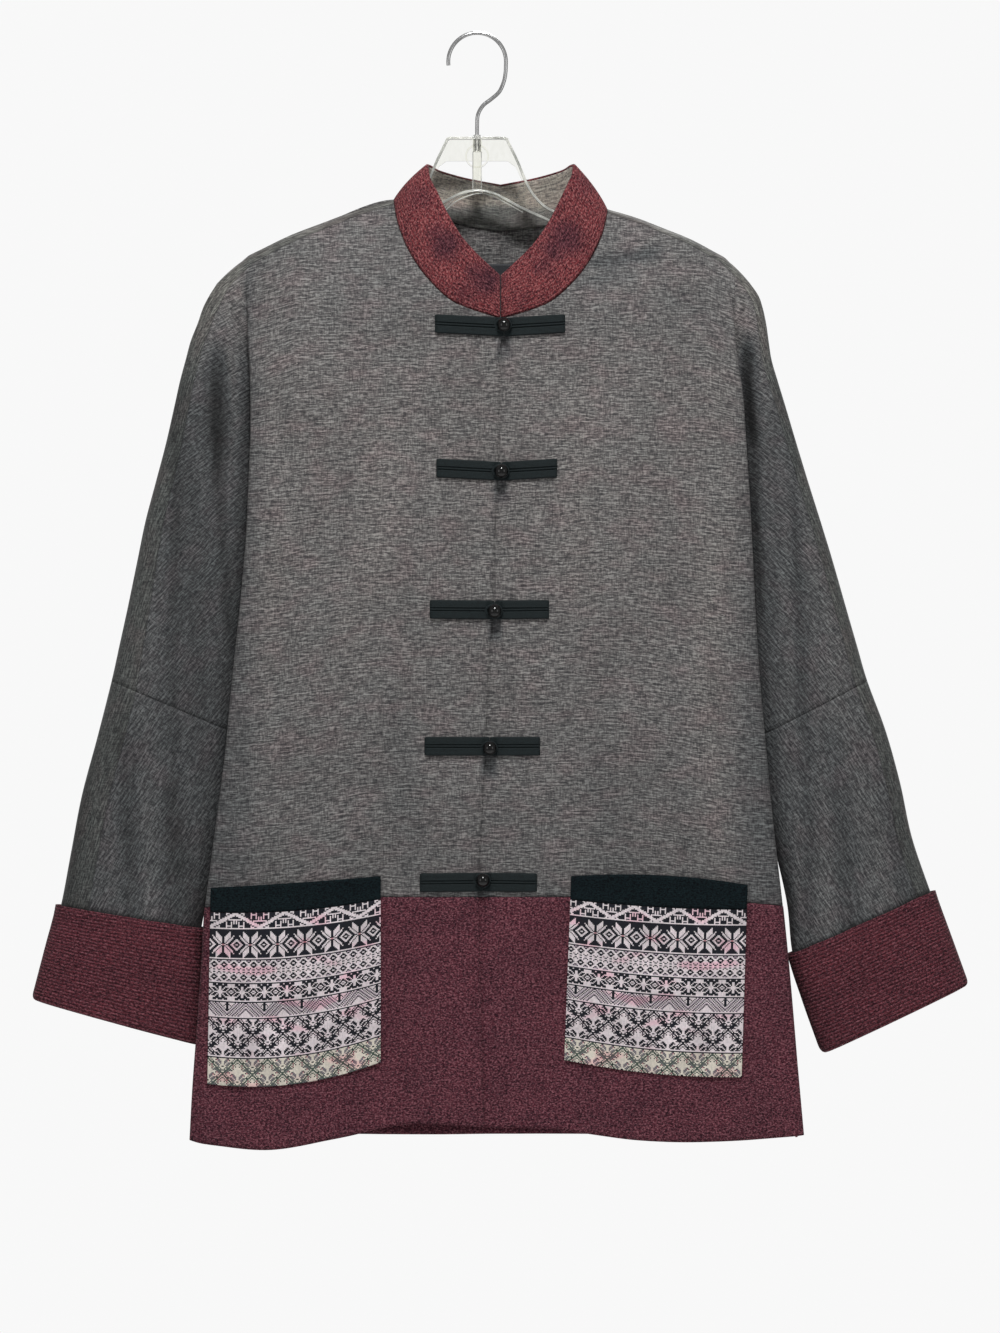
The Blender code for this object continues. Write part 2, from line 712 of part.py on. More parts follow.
def first_hit(trees, x, z, from_front=True):
    """Y of the first cloth met from the front, or from inside towards the back."""
    start = Vector((x, RAY_START_Y if from_front else 0, z)) * MM
    best = None
    for tree in trees:
        hit = tree.ray_cast(start, Vector((0, 1, 0)))[0]
        if hit is not None:
            y = hit.y / MM
            best = y if best is None else min(best, y)
    return best


def foremost(trees, x, z, half_width, half_height):
    """Y of the cloth that stands out most round a point."""
    hits = []
    for dx in (-half_width, -0.5 * half_width, 0.0, 0.5 * half_width, half_width):
        for dz in (-half_height, 0.0, half_height):
            hits.append(first_hit(trees, x + dx, z + dz))
    return min(hit for hit in hits if hit is not None)


def laid_grid(trees, corners, across, down, out, bow=0.0):
    """Grid over four corners on the panels, moved out from their surface."""
    top_outer, top_inner, low_outer, low_inner = corners
    rows = []
    for j in range(down + 1):
        v = j / down
        line = []
        for i in range(across + 1):
            u = i / across
            x = blend(blend(top_outer[0], top_inner[0], u), blend(low_outer[0], low_inner[0], u), v)
            z = blend(blend(top_outer[1], top_inner[1], u), blend(low_outer[1], low_inner[1], u), v)
            y = foremost(trees, x, z, *LAY_REACH)
            lift = bow * sin(pi * u) * (1 - v)
            line.append(Vector((x, y - out - lift, z)))
        rows.append(line)
    return rows


def pocket(side, trees, brocade, black, target):
    shape = POCKETS[side]
    height = shape.top_outer[1] - shape.low_outer[1]
    share = POCKET_BAND / height
    seam = SEAM_GAP / height

    def down(share_down, outer):
        top = shape.top_outer if outer else shape.top_inner
        low = shape.low_outer if outer else shape.low_inner
        return blend(top[0], low[0], share_down), blend(top[1], low[1], share_down)

    band = (shape.top_outer, shape.top_inner, down(share, True), down(share, False))
    rest = (down(share + seam, True), down(share + seam, False), shape.low_outer, shape.low_inner)
    out = LAY_GAP + 0.5 * BAND_WALL
    rows = laid_grid(trees, band, POCKET_COLUMNS, 1, out, POCKET_BOW)
    for point in rows[1]:
        point.y -= BAND_STEP
    sheet("pocket_band_" + side, (rows,), BAND_WALL, black, target)
    lower = laid_grid(trees, rest, POCKET_COLUMNS, POCKET_ROWS, out - BAND_STEP)
    sheet("pocket_" + side, (lower,), POCKET_WALL, brocade, target)


def frog_half(name, trees, start, end, colour, target):
    """One strap of doubled cord: two rounded ridges with a groove between them."""
    half = FROG_HALF_HEIGHT
    profile = (
        (-half, 0.0), (-half, 0.45), (-0.78 * half, 0.92), (-0.5 * half, 1.0), (-0.2 * half, 0.85), (0.0, 0.5),
        (0.2 * half, 0.85), (0.5 * half, 1.0), (0.78 * half, 0.92), (half, 0.45), (half, 0.0))
    mesh = bpy.data.meshes.new(name)
    build = bmesh.new()
    rings = []
    for i in range(FROG_STEPS + 1):
        share = i / FROG_STEPS
        x, z = blend(start[0], end[0], share), blend(start[1], end[1], share)
        y = foremost(trees, x, z, FROG_REACH, half) - LAY_GAP
        rings.append([build.verts.new(Vector((x, y - up * FROG_THICK, z + dz)) * MM) for dz, up in profile])
    for a, b in zip(rings, rings[1:]):
        for i in range(len(profile)):
            j = (i + 1) % len(profile)
            build.faces.new((a[i], a[j], b[j], b[i]))
    build.faces.new(rings[0])
    build.faces.new(rings[-1])
    bmesh.ops.recalc_face_normals(build, faces=build.faces)
    build.to_mesh(mesh)
    build.free()
    piece = bpy.data.objects.new(name, mesh)
    mesh.materials.append(colour)
    target.objects.link(piece)


def frogs(trees, cord, shiny, target):
    for number, frog in enumerate(FROGS, 1):
        loop_end = (frog.ball_x - FROG_BALL_CLEAR, frog.z_mid)
        strap_end = (frog.ball_x + FROG_BALL_CLEAR, frog.z_mid)
        frog_half(f"frog_loop_{number}", trees, (frog.x_right, frog.z_end), loop_end, cord, target)
        frog_half(f"frog_strap_{number}", trees, strap_end, (frog.x_left, frog.z_end), cord, target)
        y = ball_seat(trees, frog.ball_x, frog.ball_z)
        bpy.ops.mesh.primitive_uv_sphere_add(
            segments=12, ring_count=8, radius=BALL_RADIUS * MM,
            location=(frog.ball_x * MM, y * MM, frog.ball_z * MM))
        button = bpy.context.active_object
        button.name = f"button_{number}"
        button.data.name = button.name
        button.data.shade_smooth()
        button.data.materials.append(shiny)
        move_to(button, target)


def ball_seat(trees, x, z):
    """Y of a ball's centre when it lies a seam gap clear of the cloth."""
    reach = BALL_RADIUS + SEAM_GAP
    seats = []
    for i in range(-10, 11):
        for dz in (-4.0, -2.0, 0.0, 2.0, 4.0):
            dx = 0.4 * i
            hit = first_hit(trees, x + dx, z + dz)
            if hit is not None:
                seats.append(hit - sqrt(reach ** 2 - dx ** 2 - dz ** 2))
    return min(seats)


def move_to(piece, target):
    for old in list(piece.users_collection):
        old.objects.unlink(piece)
    target.objects.link(piece)


def neck_label(trees, colour, target):
    rows = []
    for z in (LABEL_TOP_Z, 0.5 * (LABEL_TOP_Z + LABEL_LOW_Z), LABEL_LOW_Z):
        line = []
        for i in range(4):
            x = CENTRE_X + LABEL_WIDTH * (i / 3 - 0.5)
            y = first_hit(trees, x, z, from_front=False)
            line.append(Vector((x, y - LAY_GAP - 0.5 * LABEL_WALL, z)))
        rows.append(line)
    sheet("neck_label", (rows,), LABEL_WALL, colour, target)


# Hanger

def hanger_outline():
    """Half of the hanger's outline, from the top centre round the arm to the lower centre."""
    shoulder = [
        (HUB_HALF_WIDTH - 5, HUB_TOP_Z), (HUB_HALF_WIDTH - 1.5, HUB_TOP_Z - 1.5), (HUB_HALF_WIDTH, HUB_TOP_Z - 5),
        (35.7, -108), (43.5, -127), (50.5, -138), (60, -147), (75, ARM_TOP_Z)]
    arm = [(x, arm_top(x)) for x in (100, 130, 160, 190, 205)]
    end = [
        (HANGER_HALF_SPAN - 2, HANGER_END_TOP_Z - 5), (HANGER_HALF_SPAN, HANGER_END_TOP_Z - 10),
        (HANGER_HALF_SPAN - 2, HANGER_END_TOP_Z - 15), (HANGER_HALF_SPAN - 7, HANGER_END_TOP_Z - ARM_HEIGHT + 3)]
    under = [(x, arm_top(x) - ARM_HEIGHT) for x in (180, 140, 100)]
    arch = [(68, -163.5), (38, -149.5), (14, -137), (6, -134.5)]
    return shoulder + arm + end + under + arch


def arm_top(x):
    """Top edge of the arm, straight from the hub's foot to its end."""
    return blend(ARM_TOP_Z, HANGER_END_TOP_Z, (x - 75) / (HANGER_HALF_SPAN - 75))


def hanger(colour, target, cutters):
    half = hanger_outline()
    outline = half + [(-x, z) for x, z in reversed(half)]
    window = [
        (BAR_HALF_WIDTH, -108), (26, -108), (33, -113), (38, -124), (34, -138), (14, -128.5),
        (BAR_HALF_WIDTH, -126)]
    shapes = [outline, window, [(-x, z) for x, z in window]]
    loops = [[Vector((x, 0, z)) * MM for x, z in shape] for shape in shapes]
    mesh = bpy.data.meshes.new("hanger")
    build = bmesh.new()
    points = [build.verts.new(point) for loop in loops for point in loop]
    flat = [[Vector((point.x, point.z, 0)) for point in loop] for loop in loops]
    for triangle in tessellate_polygon(flat):
        build.faces.new([points[i] for i in triangle])
    bmesh.ops.recalc_face_normals(build, faces=build.faces)
    build.to_mesh(mesh)
    build.free()
    piece = bpy.data.objects.new("hanger", mesh)
    target.objects.link(piece)
    mesh.materials.append(colour)
    plate = piece.modifiers.new("Plate thickness", "SOLIDIFY")
    plate.thickness = HANGER_THICK * MM
    plate.offset = 0.0
    bpy.ops.mesh.primitive_cylinder_add(
        vertices=12, radius=(WIRE_RADIUS + SEAM_GAP) * MM, depth=2 * SOCKET_DEPTH * MM,
        location=(0, 0, HUB_TOP_Z * MM))
    cutter = bpy.context.active_object
    cutter.name = "Hook socket cutter"
    cutter.hide_render = True
    cutter.display_type = "WIRE"
    move_to(cutter, cutters)
    socket = piece.modifiers.new("Hook socket", "BOOLEAN")
    socket.operation = "DIFFERENCE"
    socket.object = cutter


def hook(colour, target):
    """Bent wire: round the rail, then back to the hub's middle and down into its socket."""
    centre_z = WIRE_RADIUS - HOOK_RADIUS
    points = []
    steps = 14
    for i in range(steps + 1):
        angle = pi * (1.04 - 1.04 * i / steps)
        points.append((HOOK_RADIUS * cos(angle), centre_z + HOOK_RADIUS * sin(angle)))
    bend = [
        (24.6, -22.95), (24.3, -32), (22.8, -40), (19.0, -48.5), (12.5, -54.6), (5.0, -60.5), (0.8, -68),
        (0.0, -76), (0.0, -88), (0.0, HUB_TOP_Z - SOCKET_DEPTH + 0.6)]
    path = [Vector((x, 0, z)) for x, z in bend]
    points += [tuple(through(path, i * 0.5).xz) for i in range(1, 2 * len(path) - 1)]
    curve = bpy.data.curves.new("hook", "CURVE")
    curve.dimensions = "3D"
    curve.bevel_depth = WIRE_RADIUS * MM
    curve.bevel_resolution = 2
    curve.use_fill_caps = True
    spline = curve.splines.new("POLY")
    spline.points.add(len(points) - 1)
    for point, (x, z) in zip(spline.points, points):
        point.co = (x * MM, 0, z * MM, 1)
    piece = bpy.data.objects.new("hook", curve)
    curve.materials.append(colour)
    target.objects.link(piece)


def main():
    clear_scene()
    target = collection(COLLECTION)
    cutters = collection(CUTTERS)
    silk = material("Grey striped silk", (0.27, 0.24, 0.23), 0.7)
    burgundy = material("Burgundy cloth", (0.23, 0.045, 0.06), 0.75)
    lining = material("Grey facing", (0.25, 0.22, 0.21), 0.75)
    brocade = material("Brocade", (0.35, 0.32, 0.36), 0.65)
    black = material("Black band", (0.02, 0.025, 0.03), 0.7)
    cord = material("Black cord", (0.01, 0.015, 0.017), 0.6)
    shiny = material("Black ball", (0.005, 0.005, 0.005), 0.12)
    label = material("Plain label", (0.03, 0.03, 0.035), 0.6)
    clear = material("Clear plastic", (0.9, 0.9, 0.88), 0.08, alpha=0.35)
    wire = material("Hook wire", (0.62, 0.62, 0.62), 0.25, metallic=1.0)

    for side in SIDES:
        front_panel(side, silk, target)
        lower_sleeve(side, silk, target)
        cuff(side, burgundy, target)
    back_panel(silk, target)
    hem_bands(burgundy, target)
    collar(burgundy, lining, target)

    fronts = surface_of(("front_right", "front_left", "hem_front_right", "hem_front_left"))
    for side in SIDES:
        pocket(side, fronts, brocade, black, target)
    frogs(fronts + surface_of(("collar_outer",)), cord, shiny, target)
    neck_label(surface_of(("back",)), label, target)
    hanger(clear, target, cutters)
    hook(wire, target)


main()
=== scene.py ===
"""Silk jacket with cut-on sleeves, hanging on a clear dress hanger: surfaces, trimmings and studio.

Metres in the scene, millimetres in the tables. The front faces -Y, and right and left are the
wearer's, so the right side is at -X. The cloth repeats the solids' form at a finer step.
"""
from collections import namedtuple
from math import cos, pi, radians, sin, sqrt

import bmesh
import bpy
import numpy as np
from bpy.props import FloatProperty, FloatVectorProperty, PointerProperty
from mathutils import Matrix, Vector, noise
from mathutils.bvhtree import BVHTree
from mathutils.geometry import tessellate_polygon


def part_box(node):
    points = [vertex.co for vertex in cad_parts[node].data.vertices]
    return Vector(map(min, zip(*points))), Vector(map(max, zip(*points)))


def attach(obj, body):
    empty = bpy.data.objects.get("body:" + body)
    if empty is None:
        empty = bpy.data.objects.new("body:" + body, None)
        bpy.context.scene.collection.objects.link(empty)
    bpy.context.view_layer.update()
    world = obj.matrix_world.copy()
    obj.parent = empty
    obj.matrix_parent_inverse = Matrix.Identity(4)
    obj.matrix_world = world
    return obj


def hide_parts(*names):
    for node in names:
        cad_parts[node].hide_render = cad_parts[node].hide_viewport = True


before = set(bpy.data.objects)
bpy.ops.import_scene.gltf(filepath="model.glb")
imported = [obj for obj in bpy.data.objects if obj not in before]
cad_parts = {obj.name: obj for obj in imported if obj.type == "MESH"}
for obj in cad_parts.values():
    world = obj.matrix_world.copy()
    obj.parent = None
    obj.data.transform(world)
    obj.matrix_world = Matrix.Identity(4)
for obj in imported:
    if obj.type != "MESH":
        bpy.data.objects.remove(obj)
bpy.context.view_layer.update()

bl_info = {
    "name": "Silk jacket on a hanger",
    "version": (1, 0, 0),
    "blender": (4, 5, 0),
    "location": "View3D > Sidebar > Jacket",
    "description": "Builds the cloth, trimmings, hanger and studio of a silk jacket",
    "category": "Object",
}

MM = 0.001
BODY = "root"

SEAM_GAP = 0.3
CENTRE_X = 20.0

# Neck seam
NECK_HALF_WIDTH = 91.0
NECK_TOP_Z = -141.0
NECK_FRONT_Z = -245.6
NECK_ROUNDNESS = 1.75
BACK_NECK_DEPTH = 25.0
NECK_RISE = {"right": 1.0, "left": 0.92}

# Lap of the right front over the left front
UNDERLAP = 10.0
LAP_STEP = 2.6

# Levels: the lowest of the neck seam, where body and sleeve part, and the last of each stretch
NECK_ROW = 7
UNDERARM_ROW = 11
UPPER_SLEEVE_ROW = 15
PANEL_ROW = 17
HEM_ROW = 21

SIDE_DROP = 9.0
BODY_HALF_WIDTH = 245.0
BACK_NOTCH = 0.5
SIDE_GAP = 0.4
SHOULDER_GAP = 0.5
SHOULDER_ROWS = 6
FOLD_OPEN = 6.5
FOLD_CLOSING = {UNDERARM_ROW - 1: 4.0, UNDERARM_ROW: 2.2}

SIDES = {"right": -1, "left": 1}
FACES = {"front": -1, "back": 1}

# Distance of the overarm outline from the centre line, as height and distance
OVERARM = {
    "right": (
        (-205, 234), (-213, 242), (-230, 252.5), (-246, 258), (-259, 263.5), (-297, 273.7), (-344, 284),
        (-418, 303.5), (-480, 316), (-551, 331.5), (-570, 337), (-609, 346), (-671, 363), (-711, 368),
        (-736, 373), (-820, 396)),
    "left": (
        (-205, 206), (-213, 213), (-223, 220), (-238, 225), (-256, 228), (-274, 230), (-298, 237),
        (-329, 246.5), (-365, 257), (-438, 280), (-508, 300), (-556, 314), (-569, 320), (-596, 329),
        (-654, 345), (-686, 351), (-730, 366), (-810, 396)),
}

# Distance of the body's side fold from the centre line, as height and distance
BODY_EDGE = {
    "right": (
        (-200, 214), (-253, 215), (-287, 213), (-330, 212), (-409, 215), (-462, 218.5), (-550, 228),
        (-663, 239), (-722, 245.7), (-747, 251), (-900, 262), (-950, 264)),
    "left": (
        (-200, 190), (-230, 197), (-269, 201), (-303, 206), (-409, 212.5), (-522, 218), (-601, 225),
        (-654, 230), (-720, 238), (-800, 246), (-900, 254), (-950, 258)),
}

# Free edge of the right front, as height and X
OPENING = (
    (-245.6, 19.6), (-303, 18.7), (-365, 17.9), (-400, 16.2), (-484, 13.6), (-532, 10.2), (-596, 7.7),
    (-713, 1.7), (-734, 0.9), (-930, 6.0))

# Top edge of the back, as distance from the centre line and height
BACK_TOP = (
    (0, -165), (30, -161), (60, -152.5), (80, -145), (91, -141), (125, -151), (178, -171), (215, -189),
    (242, -213))

# Lower edge of the hem band in front, as X and height
HEM_EDGE = (
    (-250, -941), (-216, -948), (-162, -950), (-109, -937.5), (-77, -925.5), (-46, -929), (8, -930),
    (22, -931.6), (60, -936), (69, -931), (90, -934), (110, -940), (188, -943.5), (236, -941),
    (280, -938))
HEM_BACK_Z = -942.0

Row = namedtuple("Row", "z_in z_out z_back d_in d_mid d_edge d_sleeve b_mid b_edge fold notch")
ROWS = [Row(*row) for row in (
    (-141, -213, -165, 0, 0, 0, 0, 0, 0, 0, 8),
    (-144, -217, -168, 3, 6, 5.5, 5, 6, 5.5, 0, 8),
    (-152, -224, -175, 8, 11, 9.5, 8.5, 11, 9, 0, 8),
    (-168, -234, -188, 15, 17, 13, 11, 15, 12, 0.1, 8),
    (-190, -247, -204, 24, 23, 16, 12.5, 19, 14, 0.35, 8),
    (-212, -262, -222, 32, 28, 19, 14, 22, 16, 0.65, 9),
    (-232, -278, -240, 38, 31, 22, 15, 24, 18, 0.9, 9),
    (-245.6, -296, -256, 41, 33, 24, 15.5, 25, 19, 1, 10),
    (-275, -318, -282, 42, 34, 25, 16, 26, 20, 1, 10),
    (-320, -350, -324, 42, 35, 26, 16, 27, 21, 1, 10),
    (-368, -384, -370, 41, 36, 26, 16.5, 28, 22, 1, 9),
    (-416, -416, -416, 41, 37, 26, 16.5, 29, 22, 1, 9),
    (-447, -447, -447, 41, 37, 27, 17, 29, 23, 1, 9.5),
    (-492, -492, -492, 41, 37, 27, 17, 30, 23, 1, 9.5),
    (-545, -545, -545, 40, 37, 28, 17, 30, 24, 1, 9.5),
    (-605, -605, -605, 39, 37, 29, 18, 31, 25, 1, 9),
    (-668, -668, -668, 39, 37, 30, 18, 31, 26, 1, 8),
    (-735, -735, -735, 39, 37, 31, 18, 32, 27, 1, 7),
    (-785, -785, -785, 40, 38, 31, 18, 32, 27, 1, 6),
    (-838, -838, -838, 41, 38, 31, 18, 33, 27, 1, 5),
    (-890, -890, -890, 42, 38, 31, 18, 33, 27, 1, 4),
    (-935, -935, -935, 42, 38, 31, 18, 33, 27, 1, 3),
)]

SleeveRow = namedtuple("SleeveRow", "z_out z_in out_of_edge depth")
SLEEVE_ROWS = {
    "right": [SleeveRow(*row) for row in (
        (-448, -452, -5.5, 16.5), (-488, -502, -5.0, 17), (-522, -550, -5, 17.5), (-552, -596, -5, 18),
        (-600, -640, -4, 18.5), (-650, -687, -1, 19), (-698, -728, 3, 19.5), (-743, -763, 5.5, 20),
        (-780, -810, 1.5, 20.5), (-818, -856, -1, 21))],
    "left": [SleeveRow(*row) for row in (
        (-448, -452, -5.5, 16.5), (-488, -502, -5.0, 17), (-522, -552, -5, 17.5), (-552, -600, -5, 18),
        (-595, -645, -4, 18.5), (-640, -695, 0, 19), (-685, -742, 5, 19.5), (-731, -785, 5.5, 20),
        (-768, -825, 14, 20.5), (-806, -863, 24, 21))],
}
LAST_SLEEVE_ROW = UNDERARM_ROW + len(SLEEVE_ROWS["right"])

# Soft lines on the cloth from top to bottom: place, half width and height. A trough is negative.
# The broad folds are the solids' own, and the creases are finer.
Fold = namedtuple("Fold", "face x_top z_top x_low z_low width height")


def folds(tables):
    return [Fold(face, *row) for face, rows in tables.items() for row in rows]


FOLDS = folds({
    "front": (
        (96, -196, 150, -178, 14, 2.5), (-110, -300, -150, -560, 34, 3.0),
        (120, -330, 150, -640, 36, 3.0), (-80, -700, -74, -940, 20, -4.5),
        (-150, -760, -160, -950, 34, 3.5), (62, -720, 66, -940, 17, -4.0),
        (150, -780, 160, -945, 36, 3.0), (-44, -780, -40, -935, 15, 2.0)),
    "back": (
        (-120, -360, -150, -940, 36, 4.0), (-40, -420, -44, -940, 30, -4.0),
        (60, -300, 52, -940, 36, 4.0), (140, -460, 160, -940, 34, -4.5),
        (-190, -500, -205, -940, 26, -3.0)),
    "sleeve": (
        (-262, -330, -322, -740, 22, 2.5), (262, -330, 322, -740, 22, 2.5))})
CREASES = folds({
    "front": (
        (100, -203, 146, -186, 5, -2.0), (108, -222, 178, -206, 7, 1.0),
        (-196, -205, -199, -330, 6, 1.6), (-203, -200, -206, -300, 3.5, -1.6),
        (-118, -230, -176, -214, 9, 0.9), (150, -210, 206, -262, 8, -1.0),
        (-70, -330, -96, -520, 16, 1.0), (70, -300, 84, -480, 14, 0.9), (186, -420, 198, -690, 12, 1.4),
        (-168, -430, -192, -700, 13, 1.3), (-60, -560, -52, -720, 12, -0.9),
        (96, -600, 110, -716, 12, -0.9), (-66, -735, -60, -930, 7, 1.8), (-92, -740, -96, -925, 8, 1.5),
        (74, -735, 80, -932, 7, 1.7), (50, -735, 46, -934, 6, 1.5), (190, -800, 200, -940, 11, -1.5),
        (-205, -800, -214, -945, 11, -1.6), (20, -860, 26, -930, 9, 0.9)),
    "back": (
        (-90, -190, -150, -250, 12, 1.4), (110, -190, 165, -246, 11, 1.5),
        (-30, -190, -22, -330, 16, -1.2), (50, -185, 70, -300, 14, -1.3),
        (-180, -240, -196, -420, 12, 1.8), (205, -240, 214, -400, 11, 1.8),
        (96, -420, 104, -720, 15, 1.8), (-84, -480, -100, -930, 14, 1.8), (8, -500, 4, -930, 16, 1.6),
        (186, -560, 204, -935, 13, 1.8), (-150, -620, -166, -930, 12, -1.6),
        (116, -700, 122, -935, 11, 1.5)),
    "sleeve": (
        (-217, -270, -217, -372, 6, -6.0), (-231, -285, -226, -400, 4.5, 1.6),
        (-256, -300, -256, -760, 5, -2.6), (-247, -430, -238, -690, 7, 1.6),
        (-276, -380, -284, -560, 8, 1.4), (-300, -590, -292, -770, 6, -2.0),
        (-322, -560, -352, -780, 6, -1.4), (-282, -640, -276, -790, 8, 1.7),
        (-338, -690, -362, -800, 7, 1.2), (226, -262, 230, -340, 5, -5.0),
        (236, -300, 240, -420, 4, 1.4), (271, -400, 280, -740, 5, -2.6), (258, -430, 256, -620, 7, 1.5),
        (294, -470, 306, -640, 8, 1.4), (300, -600, 322, -800, 7, -1.8), (330, -640, 356, -800, 7, 1.5),
        (350, -660, 384, -800, 6, -1.2), (286, -700, 300, -810, 7, 1.3))})

# Painted shade in the hollows that the cloth keeps: same places, with a share of darkening in place of the
# height
PAINTED_HOLLOW_SHADE = folds({
    "sleeve": (
        (-226, -285, -224, -348, 6.5, 0.55), (-221, -345, -213, -500, 3.5, 0.45),
        (-257, -330, -257, -720, 2.2, 0.25), (-250, -340, -240, -700, 7, 0.14),
        (-297, -590, -291, -735, 6, 0.28), (-262, -640, -244, -760, 6, 0.26),
        (-334, -470, -354, -740, 14, 0.22), (232, -265, 236, -340, 5.5, 0.50),
        (238, -335, 240, -490, 3.5, 0.42), (271, -390, 280, -740, 2.2, 0.24),
        (300, -590, 319, -780, 7, 0.26), (345, -620, 372, -790, 9, 0.20)),
    "front": (
        (92, -197, 150, -188, 5, 0.34), (86, -215, 132, -208, 4, 0.20),
        (-194, -190, -200, -330, 3.5, 0.30), (60, -720, 66, -930, 9, 0.16))})

# Top edge of the collar from the centre front to the centre back
COLLAR_TOP = (
    (0.4, -36, -209), (22, -34, -189), (36, -29, -172), (47, -22, -153), (55.5, -14, -135),
    (62, -8.5, -121), (63.5, 1, -112), (61, 9, -111.5), (52, 17, -116), (28, 25, -122), (0, 28, -127))
NECK_ROWS = (7, 6, 5, 4, 3, 2, 0)
COLLAR_BACK_P = (84, 64, 34, 0)
COLLAR_BULGE = 2.5
COLLAR_WALL = 1.2
FACING_WALL = 0.8
FACING_SETBACK = 2.2

HEM_WALL = 1.7

# Darker patches of the collar cloth: place, radius and strength
Patch = namedtuple("Patch", "x z radius strength")
COLLAR_PATCHES = [Patch(*row) for row in (
    (-49, -140, 13, 0.5), (-27, -182, 15, 1.0), (-34, -172, 10, 0.7), (-8, -222, 12, 0.5),
    (8, -213, 15, 1.0), (-2, -206, 10, 0.8), (76, -176, 17, 1.0), (66, -186, 13, 0.9),
    (55, -199, 10, 0.6), (62, -204, 8, 0.5), (92, -128, 12, 0.4), (36, -228, 9, 0.35),
    (20, -115, 26, 0.6), (-20, -120, 18, 0.5), (66, -118, 18, 0.55))]

# Turned-back cuff: how far it stands off the sleeve, its flare at the top, its turn at the wrist
# and its inner hem
CUFF_WALL = 1.4
CUFF_FLARE = 0.36
CUFF_STAND_TOP = 4.2
CUFF_STAND_LOW = 3.2
CUFF_INSIDE = -2.8
CUFF_TURN = 6.0
CUFF_HEM = 16.0

Frog = namedtuple("Frog", "x_right x_left z_end z_mid ball_x ball_z")
FROGS = [Frog(*row) for row in (
    (-35.7, 74.8, -249.0, -252.3, 22.9, -250.6),
    (-34.4, 68.0, -371.5, -374.4, 20.8, -374.4),
    (-40.0, 61.2, -491.3, -491.8, 15.1, -492.9),
    (-44.5, 53.6, -607.3, -607.4, 10.9, -609.0),
    (-48.5, 51.0, -723.0, -722.4, 5.1, -720.8),
)]
FROG_HALF_HEIGHT = 8.0
FROG_THICK = 2.4
LAY_GAP = 0.55

# Patch pockets: corners as X and Z
Pocket = namedtuple("Pocket", "top_outer top_inner low_outer low_inner")
POCKETS = {
    "right": Pocket((-226, -727.6), (-81.6, -717.4), (-228.7, -894), (-81.6, -875)),
    "left": Pocket((229.5, -725), (79.9, -717.4), (224.4, -888), (74, -873)),
}
POCKET_BAND = 20.5
POCKET_WALL = 1.2
BAND_WALL = 1.8
POCKET_BOW = 1.8
# How far each pocket's edges hang below a straight line: top, lower edge of the band, bottom
POCKET_SAG = {"right": (0.5, 4.2, 9.0), "left": (-4.6, 2.4, 4.0)}

LABEL_WIDTH = 38.0
LABEL_TOP_Z = -194.0
LABEL_LOW_Z = -236.0
LABEL_WALL = 0.8

HANGER_HALF_SPAN = 213.0
HANGER_THICK = 7.0
ARM_TOP_Z = -153.5
HANGER_END_TOP_Z = -214.5
ARM_HEIGHT = 20.0
HUB_TOP_Z = -87.2
HUB_HALF_WIDTH = 28.0
SOCKET_DEPTH = 13.0
HOOK_RADIUS = 24.65
WIRE_RADIUS = 1.7


# Settings

def colour_setting(name, description, default):
    return FloatVectorProperty(
        name=name, description=description, default=default, size=3, subtype="COLOR", min=0, max=1)


def length_setting(name, description, default, low, high):
    return FloatProperty(
        name=name, description=description, default=default, min=low, max=high, unit="LENGTH")


def light_setting(name, description, default, high, unit="POWER"):
    return FloatProperty(name=name, description=description, default=default, min=0.0, max=high, unit=unit)


class JacketClothSettings(bpy.types.PropertyGroup):
    """Sizes and colours of the silk"""
    wall: length_setting("Silk thickness", "Thickness of one layer of silk", 0.0010, 0.0003, 0.003)
    step: length_setting("Grid step", "Distance between the points of the cloth", 0.004, 0.002, 0.02)
    ground: colour_setting("Silk", "Main colour of the silk", (0.117, 0.107, 0.104))
    light: colour_setting("Silk slubs", "Colour of the pale threads", (0.29, 0.275, 0.26))
    dark: colour_setting("Silk shadows", "Colour of the dark threads", (0.040, 0.038, 0.040))


class JacketTrimSettings(bpy.types.PropertyGroup):
    """Colours of collar, cuffs, hem band and pockets"""
    burgundy: colour_setting("Burgundy", "Main colour of cuffs and hem band", (0.075, 0.017, 0.027))
    fleck: colour_setting("Burgundy flecks", "Colour of the pale flecks", (0.27, 0.11, 0.13))
    collar: colour_setting("Collar red", "Main colour of the collar", (0.145, 0.026, 0.031))
    patch: colour_setting("Collar patches", "Colour of the darker patches", (0.040, 0.014, 0.022))
    band: colour_setting("Pocket band", "Colour of the pockets' top band", (0.004, 0.010, 0.012))
    cell: length_setting("Brocade thread", "Width of one woven point", 0.00105, 0.0005, 0.004)


class JacketFastenerSettings(bpy.types.PropertyGroup):
    """Colours of the frog closures"""
    cord: colour_setting("Cord", "Colour of the frog cord", (0.006, 0.010, 0.011))
    ball: colour_setting("Ball", "Colour of the ball buttons", (0.004, 0.004, 0.004))


class JacketHangerSettings(bpy.types.PropertyGroup):
    """Sizes and colours of the hanger"""
    web: length_setting("Web thickness", "Thickness of the hanger's thin middle", 0.0016, 0.0005, 0.006)
    flange: length_setting("Rim width", "Width of the rim round the hanger", 0.0022, 0.001, 0.005)
    plastic: colour_setting("Plastic", "Tint of the clear plastic", (0.97, 0.97, 0.93))
    wire: colour_setting("Wire", "Colour of the plated wire", (0.62, 0.62, 0.62))


